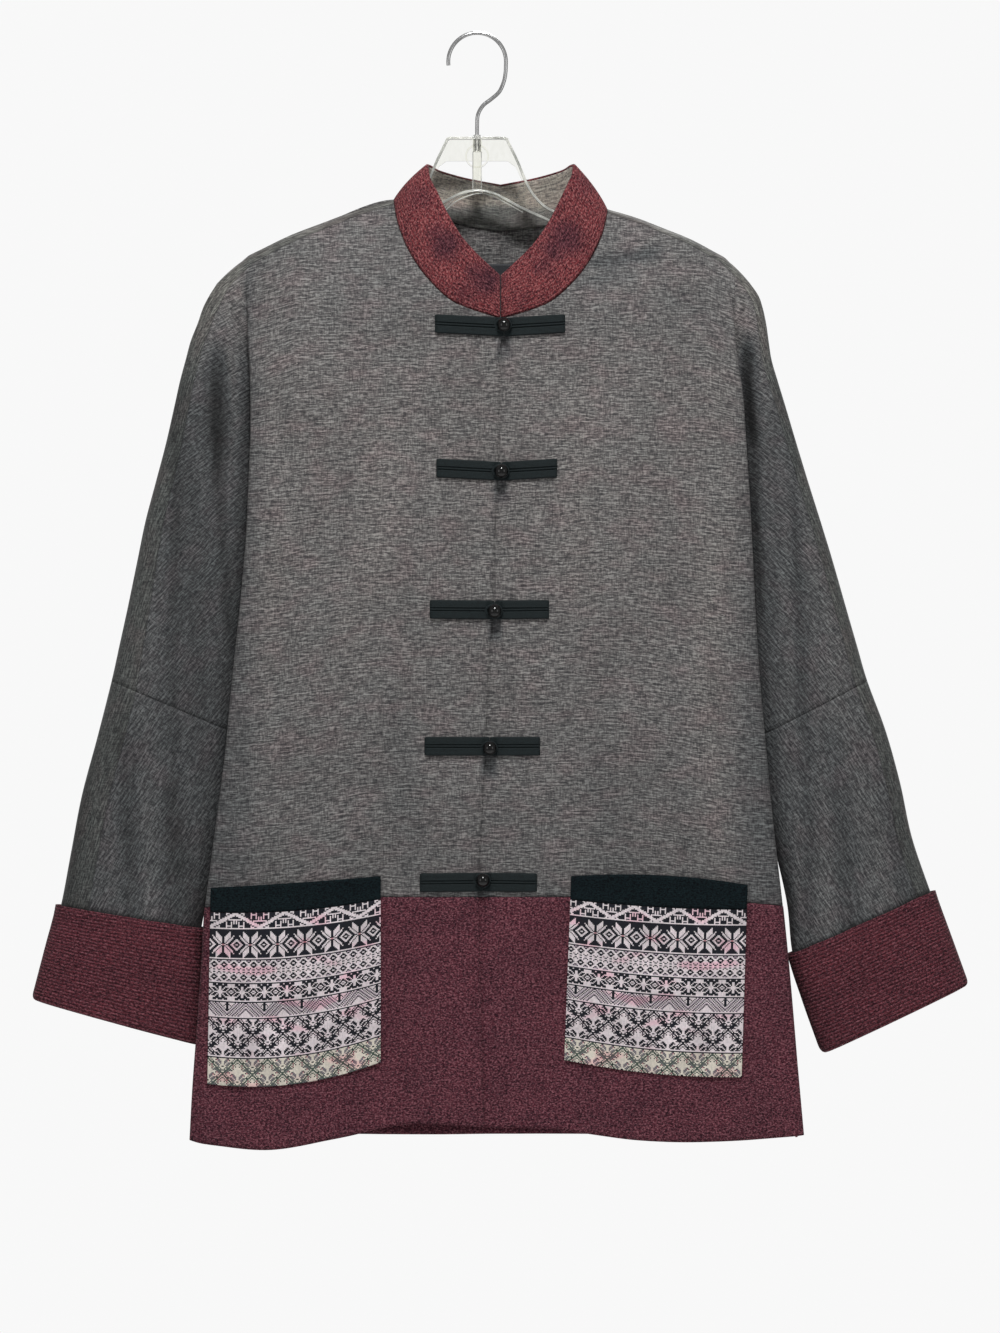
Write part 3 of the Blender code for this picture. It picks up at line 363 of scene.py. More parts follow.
class JacketStageSettings(bpy.types.PropertyGroup):
    """Camera, floor and lights"""
    frame_height: length_setting("Framed height", "Height of the picture at the jacket", 1.13305, 0.2, 5.0)
    floor_z: length_setting("Floor", "Height of the floor", -1.55, -3.0, -1.0)
    key: light_setting("Key light", "Power of the front light", 72.0, 500.0)
    fill: light_setting("Side lights", "Power of each side light", 7.0, 500.0)
    ambient: light_setting("Surrounding light", "Light from the pale surround", 0.34, 2.0, "NONE")
    backdrop: colour_setting("Backdrop", "Colour of the floor and the backdrop", (0.94, 0.94, 0.94))


# Numbers along curves

def blend(a, b, t):
    return a + (b - a) * t


def sizes(vectors):
    return np.sqrt((vectors ** 2).sum(-1))


def unit(vectors):
    return vectors / np.maximum(1e-6, sizes(vectors))[..., None]


def smooth(t):
    t = np.clip(t, 0.0, 1.0)
    return t * t * (3 - 2 * t)


def read(table, at):
    """Value read from a two-column table, along its first column."""
    rows = np.array(sorted(table), float)
    return np.interp(at, rows[:, 0], rows[:, 1])


def spline_weights(count, at):
    """Share of each of a smooth curve's points in each place along it; places count the points from 0."""
    padded = np.zeros((len(at), count + 2))
    for row, t in enumerate(at):
        i = min(int(t), count - 2)
        f = t - i
        padded[row, i:i + 4] = (
            0.5 * (-f + 2 * f ** 2 - f ** 3), 0.5 * (2 - 5 * f ** 2 + 3 * f ** 3),
            0.5 * (f + 4 * f ** 2 - 3 * f ** 3), 0.5 * (f ** 3 - f ** 2))
    weights = padded[:, 1:-1]
    weights[:, 0] += 2 * padded[:, 0]
    weights[:, 1] -= padded[:, 0]
    weights[:, -1] += 2 * padded[:, -1]
    weights[:, -2] -= padded[:, -1]
    return weights


def along(points, at):
    return spline_weights(len(points), at) @ np.asarray(points, float)


def fine(net, rows, columns):
    """Smooth surface through a net of points."""
    across = spline_weights(net.shape[1], columns)
    return np.einsum("ri,ijk,cj->rck", spline_weights(net.shape[0], rows), net, across)


def places(lengths, step):
    """Places along a run of stretches, about a step apart."""
    made = []
    for i, length in enumerate(lengths):
        parts = max(1, round(length / step))
        made += [i + k / parts for k in range(parts)]
    return np.array(made + [float(len(lengths))])


def soft_lines(lines, face, x, z):
    """Height of the soft folds at points of the front, the back or a sleeve."""
    total = np.zeros(np.shape(x))
    for number, line in enumerate(lines):
        if line.face != face:
            continue
        dx, dz = line.x_low - line.x_top, line.z_low - line.z_top
        length = dx * dx + dz * dz
        share = ((x - line.x_top) * dx + (z - line.z_top) * dz) / length
        off = ((x - line.x_top) * dz - (z - line.z_top) * dx) / sqrt(length)
        if lines is CREASES:
            off = off + 0.35 * line.width * np.sin(4.0 * share + number)
        ends = smooth((share + 0.15) / 0.35) * smooth((1.3 - share) / 0.4)
        total += line.height * ends * np.maximum(0.0, 1 - (off / (2 * line.width)) ** 2) ** 2
    return total


def ripple(x, z, size, seed):
    """Slight unevenness of hanging cloth."""
    flat = np.stack([np.ravel(x) / size, np.ravel(z) / (2.2 * size)], 1)
    values = [noise.noise((a, b, seed)) for a, b in flat]
    return np.reshape(values, np.shape(x))


# Form of the garment

def neck_point(side, z_in):
    drop = (NECK_TOP_Z - z_in) / (NECK_TOP_Z - NECK_FRONT_Z)
    across = max(0.0, 1.0 - drop ** NECK_ROUNDNESS) ** (1 / NECK_ROUNDNESS)
    return NECK_HALF_WIDTH * across, NECK_FRONT_Z + (z_in - NECK_FRONT_Z) * NECK_RISE[side]


def inner_end(side, row):
    """Inner end of a front row: on the neck seam, then down the opening."""
    if row.z_in > NECK_FRONT_Z + 1:
        return neck_point(side, row.z_in)
    z = row.z_in
    p = SIDES[side] * (read(OPENING, z) - CENTRE_X) + 0.5 * SEAM_GAP
    if side == "left":
        p -= UNDERLAP * smooth((NECK_FRONT_Z - 1 - z) / 25)
    return p, z


def row_rise(side, face, f):
    """Rise of the shoulder and back neck above a straight row, scaled to the side's own shoulder."""
    start = NECK_HALF_WIDTH if face == "front" else 0.0
    end_p, end_z = BACK_TOP[-1]
    rise = read(BACK_TOP, blend(start, end_p, f)) - blend(read(BACK_TOP, start), end_z, f)
    if side == "left" and face == "back":
        shoulder_start = NECK_HALF_WIDTH / end_p
        lower = (1 - NECK_RISE["left"]) * (NECK_TOP_Z - NECK_FRONT_Z)
        rise -= lower * smooth(f / shoulder_start) * (1 - smooth((f - shoulder_start) / 0.6))
    return rise


def side_drop(level, p):
    """How far the side of the body hangs below its middle."""
    return SIDE_DROP * smooth((level - 12) / 5) * (max(0.0, p) / BODY_HALF_WIDTH) ** 4


def inmost_step(level):
    """How far the fold's inmost line lies inside its notch; at the underarm it stands out of it."""
    return -2.0 if level == UNDERARM_ROW else 1.0


def hem_height(level, x, front):
    bottom = read(HEM_EDGE, x) if front else HEM_BACK_Z
    top = ROWS[PANEL_ROW].z_in - side_drop(PANEL_ROW, abs(x - CENTRE_X))
    share = (ROWS[level].z_in - ROWS[PANEL_ROW].z_in) / (ROWS[HEM_ROW].z_in - ROWS[PANEL_ROW].z_in)
    return blend(top, bottom, share)


def back_neck_depth(p):
    return BACK_NECK_DEPTH * sqrt(max(0.0, 1 - (p / NECK_HALF_WIDTH) ** 2))


def body_row(side, face, level):
    """Points across one half of the body at a level, from its inner end to the inmost point of the fold."""
    row = ROWS[level]
    front = face == "front"
    sign = FACES[face]
    if front:
        p_in, z_in = inner_end(side, row)
        d_in, d_mid, d_edge = row.d_in, row.d_mid, row.d_edge
    else:
        p_in, z_in = 0.0, row.z_back
        d_in, d_mid, d_edge = row.b_mid, row.b_mid, row.b_edge
    z_out = row.z_out
    p_out = read(OVERARM[side], z_out)
    p_edge = read(BODY_EDGE[side], blend(z_in, z_out, 0.75))
    fade = 1 - smooth(level / SHOULDER_ROWS)
    turn_in = 0.12 * (p_out - p_edge)
    fold = row.fold
    inmost_y = SIDE_GAP if level > UNDERARM_ROW else FOLD_CLOSING.get(level, FOLD_OPEN)
    notch = row.notch
    if not front:
        notch *= blend(BACK_NOTCH, 1.0, smooth((level - 8) / 2))
    inmost_p = blend(2 * turn_in, -notch - inmost_step(level), fold)
    pre_p = blend(turn_in, -notch, fold)
    pre_y = blend(d_edge * 0.97, max(inmost_y + 3.5, d_edge * 0.38), fold)
    inner_y = blend(d_edge * 0.95, inmost_y, fold)
    half = 0.5 if front else NECK_HALF_WIDTH / p_edge
    steps = (
        (0.0, d_in), (0.5 * half, blend(d_in, d_mid, 0.55)), (half, d_mid),
        (0.5 * (half + 0.95), blend(d_mid, d_edge, 0.4)), (0.93, d_edge + 0.5 * fold))
    points = [(blend(p_in, p_edge, t), depth) for t, depth in steps]
    points.append((p_edge, blend(d_edge, d_edge * 0.8, fold)))
    points.append((p_edge + pre_p, pre_y))
    points.append((p_edge + inmost_p, inner_y))
    made = []
    for i, (p, depth) in enumerate(points):
        f = (p - p_in) / max(1.0, p_out - p_in)
        z = blend(z_in, z_out, f) + fade * row_rise(side, face, f) - side_drop(level, p)
        if side == "left" and front and level >= NECK_ROW and i == 0:
            depth -= LAP_STEP
        if level > PANEL_ROW:
            z = hem_height(level, CENTRE_X + SIDES[side] * p, front)
        if not front:
            depth += back_neck_depth(p) * max(0.0, 1 - depth / BACK_NECK_DEPTH)
        made.append((CENTRE_X + SIDES[side] * p, sign * depth, z))
    return np.array(made)


def sleeve_row(side, face, level):
    """Points across one face of the sleeve, from the inmost point of the fold to the overarm seam."""
    sign = FACES[face]
    if level <= UNDERARM_ROW:
        row = ROWS[level]
        inner = body_row(side, face, level)
        p_in = SIDES[side] * (inner[-1][0] - CENTRE_X)
        y_in, z_in = abs(inner[-1][1]), inner[-1][2]
        z_out, depth = row.z_out, row.d_sleeve
        p_out = read(OVERARM[side], z_out)
        p_edge = SIDES[side] * (inner[5][0] - CENTRE_X)
        width = p_out - p_edge
        fold = row.fold
        notch = p_edge - p_in - inmost_step(level)
        post_p = p_edge + blend(0.36 * width, -notch + (5.5 if level == UNDERARM_ROW else 3.5), fold)
        post_in = max(y_in - 2.6, 3.0) if level < 10 else y_in + 3.6
        post_y = blend(blend(row.d_edge, depth, 0.4), post_in, fold)
        near_p = p_edge + blend(0.48 * width, 5.0, fold)
        near_y = blend(depth, depth * 0.72, fold)
    else:
        row = SLEEVE_ROWS[side][level - UNDERARM_ROW - 1]
        z_out, z_in, depth = row.z_out, row.z_in, row.depth
        p_out = read(OVERARM[side], z_out)
        p_in = read(BODY_EDGE[side], z_in) + row.out_of_edge
        y_in = SIDE_GAP
        post_p, post_y = p_in + 1.5, depth * 0.38
        near_p, near_y = p_in + 11.0, depth * 0.74
    span = p_out - near_p
    steps = (
        (p_in, y_in), (post_p, post_y), (near_p, near_y), (near_p + 0.36 * span, depth),
        (near_p + 0.68 * span, depth * 0.96), (near_p + 0.90 * span, depth * 0.74),
        (near_p + 0.985 * span, depth * 0.36), (p_out, SIDE_GAP * 0.5))
    made = []
    for p, y in steps:
        f = (p - p_in) / (p_out - p_in)
        z = blend(z_in, z_out, f)
        if level <= UNDERARM_ROW:
            z += (1 - smooth(level / SHOULDER_ROWS)) * 4.0 * f * (1 - f)
        made.append((CENTRE_X + SIDES[side] * p, sign * y, z))
    return np.array(made)


# Fine cloth

BODY_STEPS = (57, 57, 52, 47, 16, 13, 9)
SLEEVE_STEPS = (7, 8, 26, 22, 16, 11, 6)


def body_net(side, face):
    return np.array([body_row(side, face, level) for level in range(HEM_ROW + 1)])


def sleeve_net(side, face):
    return np.array([sleeve_row(side, face, level) for level in range(LAST_SLEEVE_ROW + 1)])


def row_places(net, first, last, step, column=3):
    lengths = [max(6.0, abs(net[i + 1, column, 2] - net[i, column, 2])) for i in range(first, last)]
    return first + places(lengths, step)


def shaped(grid, face, table_face, rows, columns, fade_in, fade_out, seed):
    """Adds folds, creases and unevenness to a grid, fading out along its ends."""
    x, z = grid[..., 0], grid[..., 2]
    sign = FACES[face]
    level = smooth(np.asarray(rows) / 4)[:, None]
    t = np.asarray(columns)
    share = np.ones_like(t)
    if fade_in:
        share = share * smooth((t - fade_in[0]) / (fade_in[1] - fade_in[0]))
    if fade_out:
        share = share * (1 - smooth((t - fade_out[0]) / (fade_out[1] - fade_out[0])))
    height = soft_lines(FOLDS, table_face, x, z) + soft_lines(CREASES, table_face, x, z)
    height += 0.9 * ripple(x, z, 38.0, seed) + 0.35 * ripple(x, z, 13.0, seed + 7)
    made = grid.copy()
    made[..., 1] += sign * height * level * share[None, :]
    return made


# Fullness of body and sleeve where they hang together above the cuff
SIDE_FULLNESS = {"right": 2.4, "left": 0.0}


def low_bulge(z):
    return smooth((-z - 600) / 90) * smooth((z + 800) / 60)


def body_grid(side, face, rows, step):
    net = body_net(side, face)
    columns = places(BODY_STEPS, step)
    grid = fine(net, rows, columns)
    outward = np.minimum(columns / 5, 1.0)[None, :] ** 6
    grid[..., 0] += SIDES[side] * SIDE_FULLNESS[side] * outward * low_bulge(grid[..., 2])
    return shaped(grid, face, face, rows, columns, None, (5.0, 6.0), 3.0)


def sleeve_grid(side, face, rows, step):
    net = sleeve_net(side, face)
    columns = places(SLEEVE_STEPS, step)
    grid = fine(net, rows, columns)
    inward = 1 - smooth((columns - 1.0) / 3)[None, :]
    grid[..., 0] -= SIDES[side] * SIDE_FULLNESS[side] * inward * low_bulge(grid[..., 2])
    return shaped(grid, face, "sleeve", rows, columns, (0.6, 2.0), (5.2, 6.2), 11.0 + SIDES[side])


def stripe_angle(z):
    """Slant of the stripes on the sleeve, which turned with it as it fell."""
    return np.radians(np.interp(-z, (200, 270, 340, 450, 560, 700, 880), (22, 27, 34, 44, 52, 58, 62)))


DROP = np.arange(0, 1000)
DROP_CLIMB = np.concatenate([[0.0], np.cumsum(np.cos(stripe_angle(-DROP.astype(float))))[:-1]])


def sleeve_weave(side, grid):
    """Coordinates along and across the stripes of a sleeve, in metres."""
    p = SIDES[side] * (grid[..., 0] - CENTRE_X)
    z = grid[..., 2]
    angle = stripe_angle(z)
    v = -np.interp(-z, DROP, DROP_CLIMB) + (p - 215.0) * np.sin(angle)
    u = p * np.cos(angle) - z * np.sin(angle)
    return np.stack([u, v], -1) * MM + 1.0


def body_weave(side, grid):
    """Coordinates along and across the stripes of the body; they droop slightly at the side."""
    p = SIDES[side] * (grid[..., 0] - CENTRE_X)
    z = grid[..., 2]
    droop = 14.0 * smooth((p - 90) / 150) * smooth((-z - 250) / 350)
    over = np.maximum(0.0, p - 175.0)
    turned = smooth((-z - 150) / 60) * (1 - smooth((-z - 300) / 60))
    v = z + droop + turned * 0.30 * over
    return np.stack([p * SIDES[side], v], -1) * MM + 1.0


def edge_distance(grid, outline):
    """Distance of each point from an outline in the front view, in millimetres."""
    points = grid[..., (0, 2)].reshape(-1, 2)
    best = np.full(len(points), 1e9)
    for a, b in zip(outline, outline[1:]):
        run = b - a
        length = float(run @ run)
        if length < 1e-6:
            continue
        share = np.clip((points - a) @ run / length, 0.0, 1.0)
        off = points - (a + share[:, None] * run)
        best = np.minimum(best, np.sqrt((off ** 2).sum(1)))
    return best.reshape(grid.shape[:-1])


def cloth_mesh(name, grids, material, closed):
    """Mesh from grids of points. Each grid is a dict of points, weave and further named values."""
    corners, faces, weaves, values = [], [], [], {}
    total = 0
    for grid in grids:
        points = grid["points"]
        rows, columns = points.shape[:2]
        ids = total + np.arange(rows * columns).reshape(rows, columns)
        if closed:
            ids = np.concatenate([ids, ids[:, :1]], 1)
        quads = np.stack([ids[:-1, :-1], ids[:-1, 1:], ids[1:, 1:], ids[1:, :-1]], -1).reshape(-1, 4)
        corners.append(points.reshape(-1, 3))
        weaves.append(grid["weave"].reshape(-1, 2))
        faces.append(quads)
        for key, value in grid.items():
            if key not in ("points", "weave"):
                values.setdefault(key, []).append(np.ravel(value))
        total += rows * columns
    corners, weaves, quads = np.concatenate(corners), np.concatenate(weaves), np.concatenate(faces)
    _, index, back = np.unique(np.round(corners, 2), axis=0, return_index=True, return_inverse=True)
    back = back.ravel()
    polygons, loops = [], []
    for quad in quads:
        ring = list(dict.fromkeys(int(back[i]) for i in quad))
        if len(ring) > 2:
            polygons.append(ring)
            source = {}
            for i in quad:
                source.setdefault(int(back[i]), i)
            loops += [source[i] for i in ring]
    mesh = bpy.data.meshes.new(name)
    mesh.from_pydata((corners[index] * MM).tolist(), [], polygons)
    layer = mesh.uv_layers.new(name="Weave")
    layer.data.foreach_set("uv", weaves[loops].astype(np.float32).ravel())
    for key, parts in values.items():
        attribute = mesh.attributes.new(key, "FLOAT", "POINT")
        attribute.data.foreach_set("value", np.concatenate(parts)[index].astype(np.float32))
    build = bmesh.new()
    build.from_mesh(mesh)
    bmesh.ops.recalc_face_normals(build, faces=build.faces)
    build.to_mesh(mesh)
    build.free()
    mesh.shade_smooth()
    mesh.materials.append(material)
    return mesh


def new_object(name, data):
    made = bpy.data.objects.new(name, data)
    bpy.context.scene.collection.objects.link(made)
    return made


def link(name, data, slot, *solids):
    """Puts a piece in the scene: on its body and in place of its solids. Its finish slot is not used."""
    needed(*solids)
    piece = new_object(name, data)
    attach(piece, BODY)
    if solids:
        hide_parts(*solids)
    return piece


def cloth_piece(name, solid, grids, material, wall, slot, closed=False):
    """A cloth piece from its grids, in place of its solid, with a shell as thick as its wall."""
    mesh = cloth_mesh(name, grids, material, closed)
    piece = link(name, mesh, slot, solid)
    shell = piece.modifiers.new("Cloth thickness", "SOLIDIFY")
    shell.thickness = wall
    shell.offset = 0.0
    return piece


def needed(*solids):
    """Stops with a message when the frame lacks a solid that a piece stands for."""
    missing = [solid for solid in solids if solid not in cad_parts]
    if missing:
        raise RuntimeError("The frame has no solid named " + ", ".join(missing))


def need_pieces(*names):
    """Stops with a message when a piece that others are laid on isn't built yet."""
    missing = [name for name in names if name not in bpy.data.objects]
    if missing:
        raise RuntimeError("These pieces are needed first: " + ", ".join(missing))


# Shader node groups

# Distance in metres between the ridges of the silk, and between the threads of silk and brocade
RIDGE_PITCH = 0.0034
SILK_PICK = 0.00082
BROCADE_PICK = 0.0007


def node(tree, kind, **values):
    made = tree.nodes.new(kind)
    for key, value in values.items():
        setattr(made, key, value)
    return made


def join(tree, source, target):
    tree.links.new(source, target)


def maths(tree, operation, a, b=0.0, c=None):
    """A Math node on sockets or plain numbers."""
    made = node(tree, "ShaderNodeMath", operation=operation)
    for slot, value in zip(made.inputs, (a, b, c)):
        if value is None:
            continue
        if isinstance(value, (int, float)):
            slot.default_value = value
        else:
            join(tree, value, slot)
    return made.outputs[0]


def mixed(tree, factor, a, b, mode="MIX"):
    """A colour Mix node on sockets or plain values."""
    made = node(tree, "ShaderNodeMix", data_type="RGBA", blend_type=mode)
    for slot, value in ((made.inputs[0], factor), (made.inputs[6], a), (made.inputs[7], b)):
        if isinstance(value, (int, float)):
            slot.default_value = value
        elif isinstance(value, tuple):
            slot.default_value = (*value, 1.0)
        else:
            join(tree, value, slot)
    return made.outputs[2]


def times(tree, a, b):
    return maths(tree, "MULTIPLY", a, b)


def weighed(tree, total, *parts):
    """A sum to which each further part is added with its own weight."""
    for part, weight in parts:
        total = maths(tree, "MULTIPLY_ADD", part, weight, total)
    return total


def tinted(tree, a, b):
    """One colour multiplied by another."""
    return mixed(tree, 1.0, a, b, "MULTIPLY")


def shaded(tree, colour, amount, low, high):
    """A colour multiplied by a tint between two others."""
    return tinted(tree, colour, mixed(tree, amount, low, high))


def place_of(tree):
    """Place on the object, in metres."""
    return node(tree, "ShaderNodeTexCoord").outputs["Object"]


def noisy(tree, vector, scale, detail, roughness):
    """Noise from 0 to 1 over a vector, which is first stretched by two or three numbers."""
    stretched = node(tree, "ShaderNodeVectorMath", operation="MULTIPLY")
    stretched.inputs[1].default_value = (*scale, 1.0)[:3]
    join(tree, vector, stretched.inputs[0])
    made = node(tree, "ShaderNodeTexNoise")
    made.inputs["Scale"].default_value = 1.0
    made.inputs["Detail"].default_value = detail
    made.inputs["Roughness"].default_value = roughness
    join(tree, stretched.outputs[0], made.inputs["Vector"])
    return made.outputs[0]


def mottled(tree, base, scale, limits, dark, light, detail=3.0):
    """Noise in place, and a colour that it makes uneven."""
    grain = noisy(tree, place_of(tree), scale, detail, 0.6)
    return grain, shaded(tree, tuple(base), spread(tree, grain, *limits), dark, light)


def spread(tree, value, low, high):
    """Value from low to high stretched to 0 to 1."""
    made = node(tree, "ShaderNodeMapRange", clamp=True)
    made.inputs["From Min"].default_value = low
    made.inputs["From Max"].default_value = high
    join(tree, value, made.inputs["Value"])
    return made.outputs[0]


def start_group(name, inputs, outputs):
    """A node group with named sockets: the group, what it is given and what it makes."""
    tree = bpy.data.node_groups.new(name, "ShaderNodeTree")
    for label, kind, default in inputs:
        socket = tree.interface.new_socket(label, in_out="INPUT", socket_type="NodeSocket" + kind)
        if default is not None:
            socket.default_value = default
    for label, kind in outputs:
        tree.interface.new_socket(label, in_out="OUTPUT", socket_type="NodeSocket" + kind)
    return tree, node(tree, "NodeGroupInput").outputs, node(tree, "NodeGroupOutput").inputs


def slub_weave_group():
    """Silk with fine uneven crosswise slubs. Weave is in metres, along and across the stripes. Shade is
    painted shade: it darkens the colour and turns it cooler.
    """
    tree, given, made = start_group("Slub weave", (
        ("Weave", "Vector", None), ("Ground", "Color", (0.12, 0.11, 0.11, 1)),
        ("Light", "Color", (0.3, 0.28, 0.26, 1)),
        ("Dark", "Color", (0.04, 0.04, 0.04, 1)), ("Shade", "Float", 1.0)),
        (("Color", "Color"), ("Height", "Float")))
    weave = given["Weave"]
    stripes = noisy(tree, weave, (80, 700), 3.0, 0.7)
    slubs = noisy(tree, weave, (240, 980), 2.0, 0.6)
    sway = noisy(tree, weave, (22, 60), 2.0, 0.5)
    strength = noisy(tree, weave, (70, 210), 2.0, 0.5)
    warp = noisy(tree, weave, (760, 150), 2.0, 0.6)
    patches = noisy(tree, weave, (17, 17), 3.0, 0.6)
    tint = noisy(tree, weave, (30, 46), 2.0, 0.6)
    specks = noisy(tree, weave, (420, 640), 1.0, 0.5)
    picks = maths(tree, "SINE", times(tree, separate(tree, weave, 1), 2 * pi / SILK_PICK))
    turns = weighed(tree, times(tree, sway, 26.0), (separate(tree, weave, 1), 2 * pi / RIDGE_PITCH))
    ridges = times(tree, maths(tree, "SINE", turns), spread(tree, strength, 0.38, 0.62))
    tone = weighed(tree, spread(tree, stripes, 0.26, 0.74), (ridges, 0.19), (
        spread(tree, slubs, 0.30, 0.70), 0.80), (spread(tree, warp, 0.30, 0.70), 0.50))
    tone = maths(tree, "SUBTRACT", tone, 0.65)
    low = spread(tree, tone, 0.06, 0.5)
    high = spread(tree, tone, 0.5, 1.0)
    colour = mixed(tree, low, given["Dark"], given["Ground"])
    colour = mixed(tree, high, colour, given["Light"])
    colour = mixed(tree, times(tree, spread(tree, specks, 0.70, 0.78), 0.8), colour, (0.34, 0.325, 0.30))
    colour = mixed(tree, times(tree, spread(tree, specks, 0.29, 0.22), 0.8), colour, (0.022, 0.020, 0.024))
    colour = mixed(tree, times(tree, spread(tree, tint, 0.50, 0.68), 0.55), colour,
                   (1.12, 0.95, 0.98), "MULTIPLY")
    colour = mixed(tree, times(tree, spread(tree, tint, 0.50, 0.32), 0.5), colour,
                   (0.92, 0.98, 0.98), "MULTIPLY")
    # Painted shade: the Shade value darkens the colour and, where it is low, cools it towards blue
    level = maths(tree, "MULTIPLY_ADD", spread(tree, patches, 0.3, 0.7), 0.20, 0.90)
    level = times(tree, level, given["Shade"])
    cool = spread(tree, given["Shade"], 1.0, 0.45)
    colour = mixed(tree, cool, colour, tinted(tree, colour, (0.86, 0.96, 1.03)))
    grey = node(tree, "ShaderNodeCombineColor")
    for slot in grey.inputs:
        join(tree, level, slot)
    join(tree, tinted(tree, colour, grey.outputs[0]), made["Color"])
    height = weighed(tree, times(tree, stripes, 0.9), (slubs, 0.6), (ridges, 0.30),
                     (picks, 0.10), (warp, 0.25))
    join(tree, height, made["Height"])
    return tree


def separate(tree, vector, axis):
    made = node(tree, "ShaderNodeSeparateXYZ")
    join(tree, vector, made.inputs[0])
    return made.outputs[axis]


def heather_group():
    """Heathered cloth: flecks of paler and darker yarn over a ribbed ground, with painted shade in the rib's
    grooves.
    """
    tree, given, made = start_group("Heather", (
        ("Weave", "Vector", None), ("Ground", "Color", (0.08, 0.02, 0.03, 1)),
        ("Fleck", "Color", (0.25, 0.1, 0.1, 1)), ("Fleck Amount", "Float", 0.6),
        ("Rib Pitch", "Float", 0.0026), ("Rib Depth", "Float", 0.0)),
        (("Color", "Color"), ("Height", "Float")))
    weave = given["Weave"]
    flecks = noisy(tree, weave, (540, 640), 1.0, 0.6)
    dashes = noisy(tree, weave, (260, 900), 2.0, 0.6)
    moved = node(tree, "ShaderNodeVectorMath", operation="ADD")
    moved.inputs[1].default_value = (7.3, 3.1, 5.7)
    join(tree, weave, moved.inputs[0])
    dark = noisy(tree, moved.outputs[0], (620, 820), 2.0, 0.6)
    broad = noisy(tree, weave, (24, 30), 3.0, 0.55)
    turns = maths(tree, "DIVIDE", separate(tree, weave, 1), given["Rib Pitch"])
    rib = maths(tree, "SINE", times(tree, turns, 2 * pi))
    groove = spread(tree, rib, -0.35, -1.0)
    amount = times(tree, spread(tree, flecks, 0.48, 0.62), given["Fleck Amount"])
    colour = mixed(tree, amount, given["Ground"], given["Fleck"])
    amount = times(tree, spread(tree, dashes, 0.52, 0.66), given["Fleck Amount"])
    colour = mixed(tree, times(tree, amount, 0.6), colour, given["Fleck"])
    colour = shaded(tree, colour, spread(tree, dark, 0.54, 0.38), (1.0, 1.0, 1.0), (0.22, 0.20, 0.26))
    # Painted shade in the rib's grooves, as strong as the rib is deep
    groove_shade = times(tree, groove, given["Rib Depth"])
    colour = shaded(tree, colour, groove_shade, (1.0, 1.0, 1.0), (0.22, 0.22, 0.26))
    colour = shaded(tree, colour, spread(tree, broad, 0.3, 0.7), (0.82, 0.82, 0.84), (1.12, 1.08, 1.08))
    join(tree, colour, made["Color"])
    height = weighed(tree, flecks, (dashes, 0.5), (
        times(tree, rib, 0.8), given["Rib Depth"]))
    join(tree, height, made["Height"])
    return tree


def fuzz_group():
    """Fine loose fibres: a slight paler bloom in specks, for any cloth."""
    tree, given, made = start_group("Fibre bloom", (
        ("Color", "Color", (0.1, 0.1, 0.1, 1)), ("Amount", "Float", 0.3),
        ("Size", "Float", 0.0006)), (("Color", "Color"),))
    scaled = node(tree, "ShaderNodeVectorMath", operation="DIVIDE")
    join(tree, place_of(tree), scaled.inputs[0])
    join(tree, given["Size"], scaled.inputs[1])
    specks = noisy(tree, scaled.outputs[0], (1.0, 1.0), 2.0, 0.6)
    amount = times(tree, spread(tree, specks, 0.56, 0.8), given["Amount"])
    join(tree, mixed(tree, amount, given["Color"], (0.45, 0.43, 0.42)), made["Color"])
    return tree


GROUPS = {}


def shared_group(name):
    """Each shader group is built once."""
    if name not in GROUPS:
        GROUPS[name] = {"Slub weave": slub_weave_group, "Heather": heather_group,
                        "Fibre bloom": fuzz_group}[name]()
    return GROUPS[name]


def placed_group(tree, name, **values):
    made = node(tree, "ShaderNodeGroup", node_tree=shared_group(name))
    for label, value in values.items():
        socket = made.inputs[label.replace("_", " ")]
        if isinstance(value, bpy.types.NodeSocket):
            join(tree, value, socket)
        elif hasattr(value, "__len__"):
            socket.default_value = (*value, 1.0)
        else:
            socket.default_value = value
    return made


def start_material(name, roughness, **values):
    """A material with its Principled shader: constant values go straight on the shader's sockets."""
    made = bpy.data.materials.new(name)
    made.use_nodes = True
    tree = made.node_tree
    shader = tree.nodes["Principled BSDF"]
    shader.inputs["Roughness"].default_value = roughness
    for label, value in values.items():
        shader.inputs[label.replace("_", " ")].default_value = value
    return made, tree, shader


def finished(made, tree, shader, colour, height, distance, strength):
    """Gives a material its colour and the relief of its surface."""
    join(tree, colour, shader.inputs["Base Color"])
    bump = node(tree, "ShaderNodeBump")
    bump.inputs["Distance"].default_value = distance
    bump.inputs["Strength"].default_value = strength
    join(tree, height, bump.inputs["Height"])
    join(tree, bump.outputs[0], shader.inputs["Normal"])
    return made


def weave_of(tree):
    return node(tree, "ShaderNodeUVMap", uv_map="Weave").outputs[0]


def named_value(tree, name):
    return node(tree, "ShaderNodeAttribute", attribute_name=name).outputs["Fac"]


# Materials

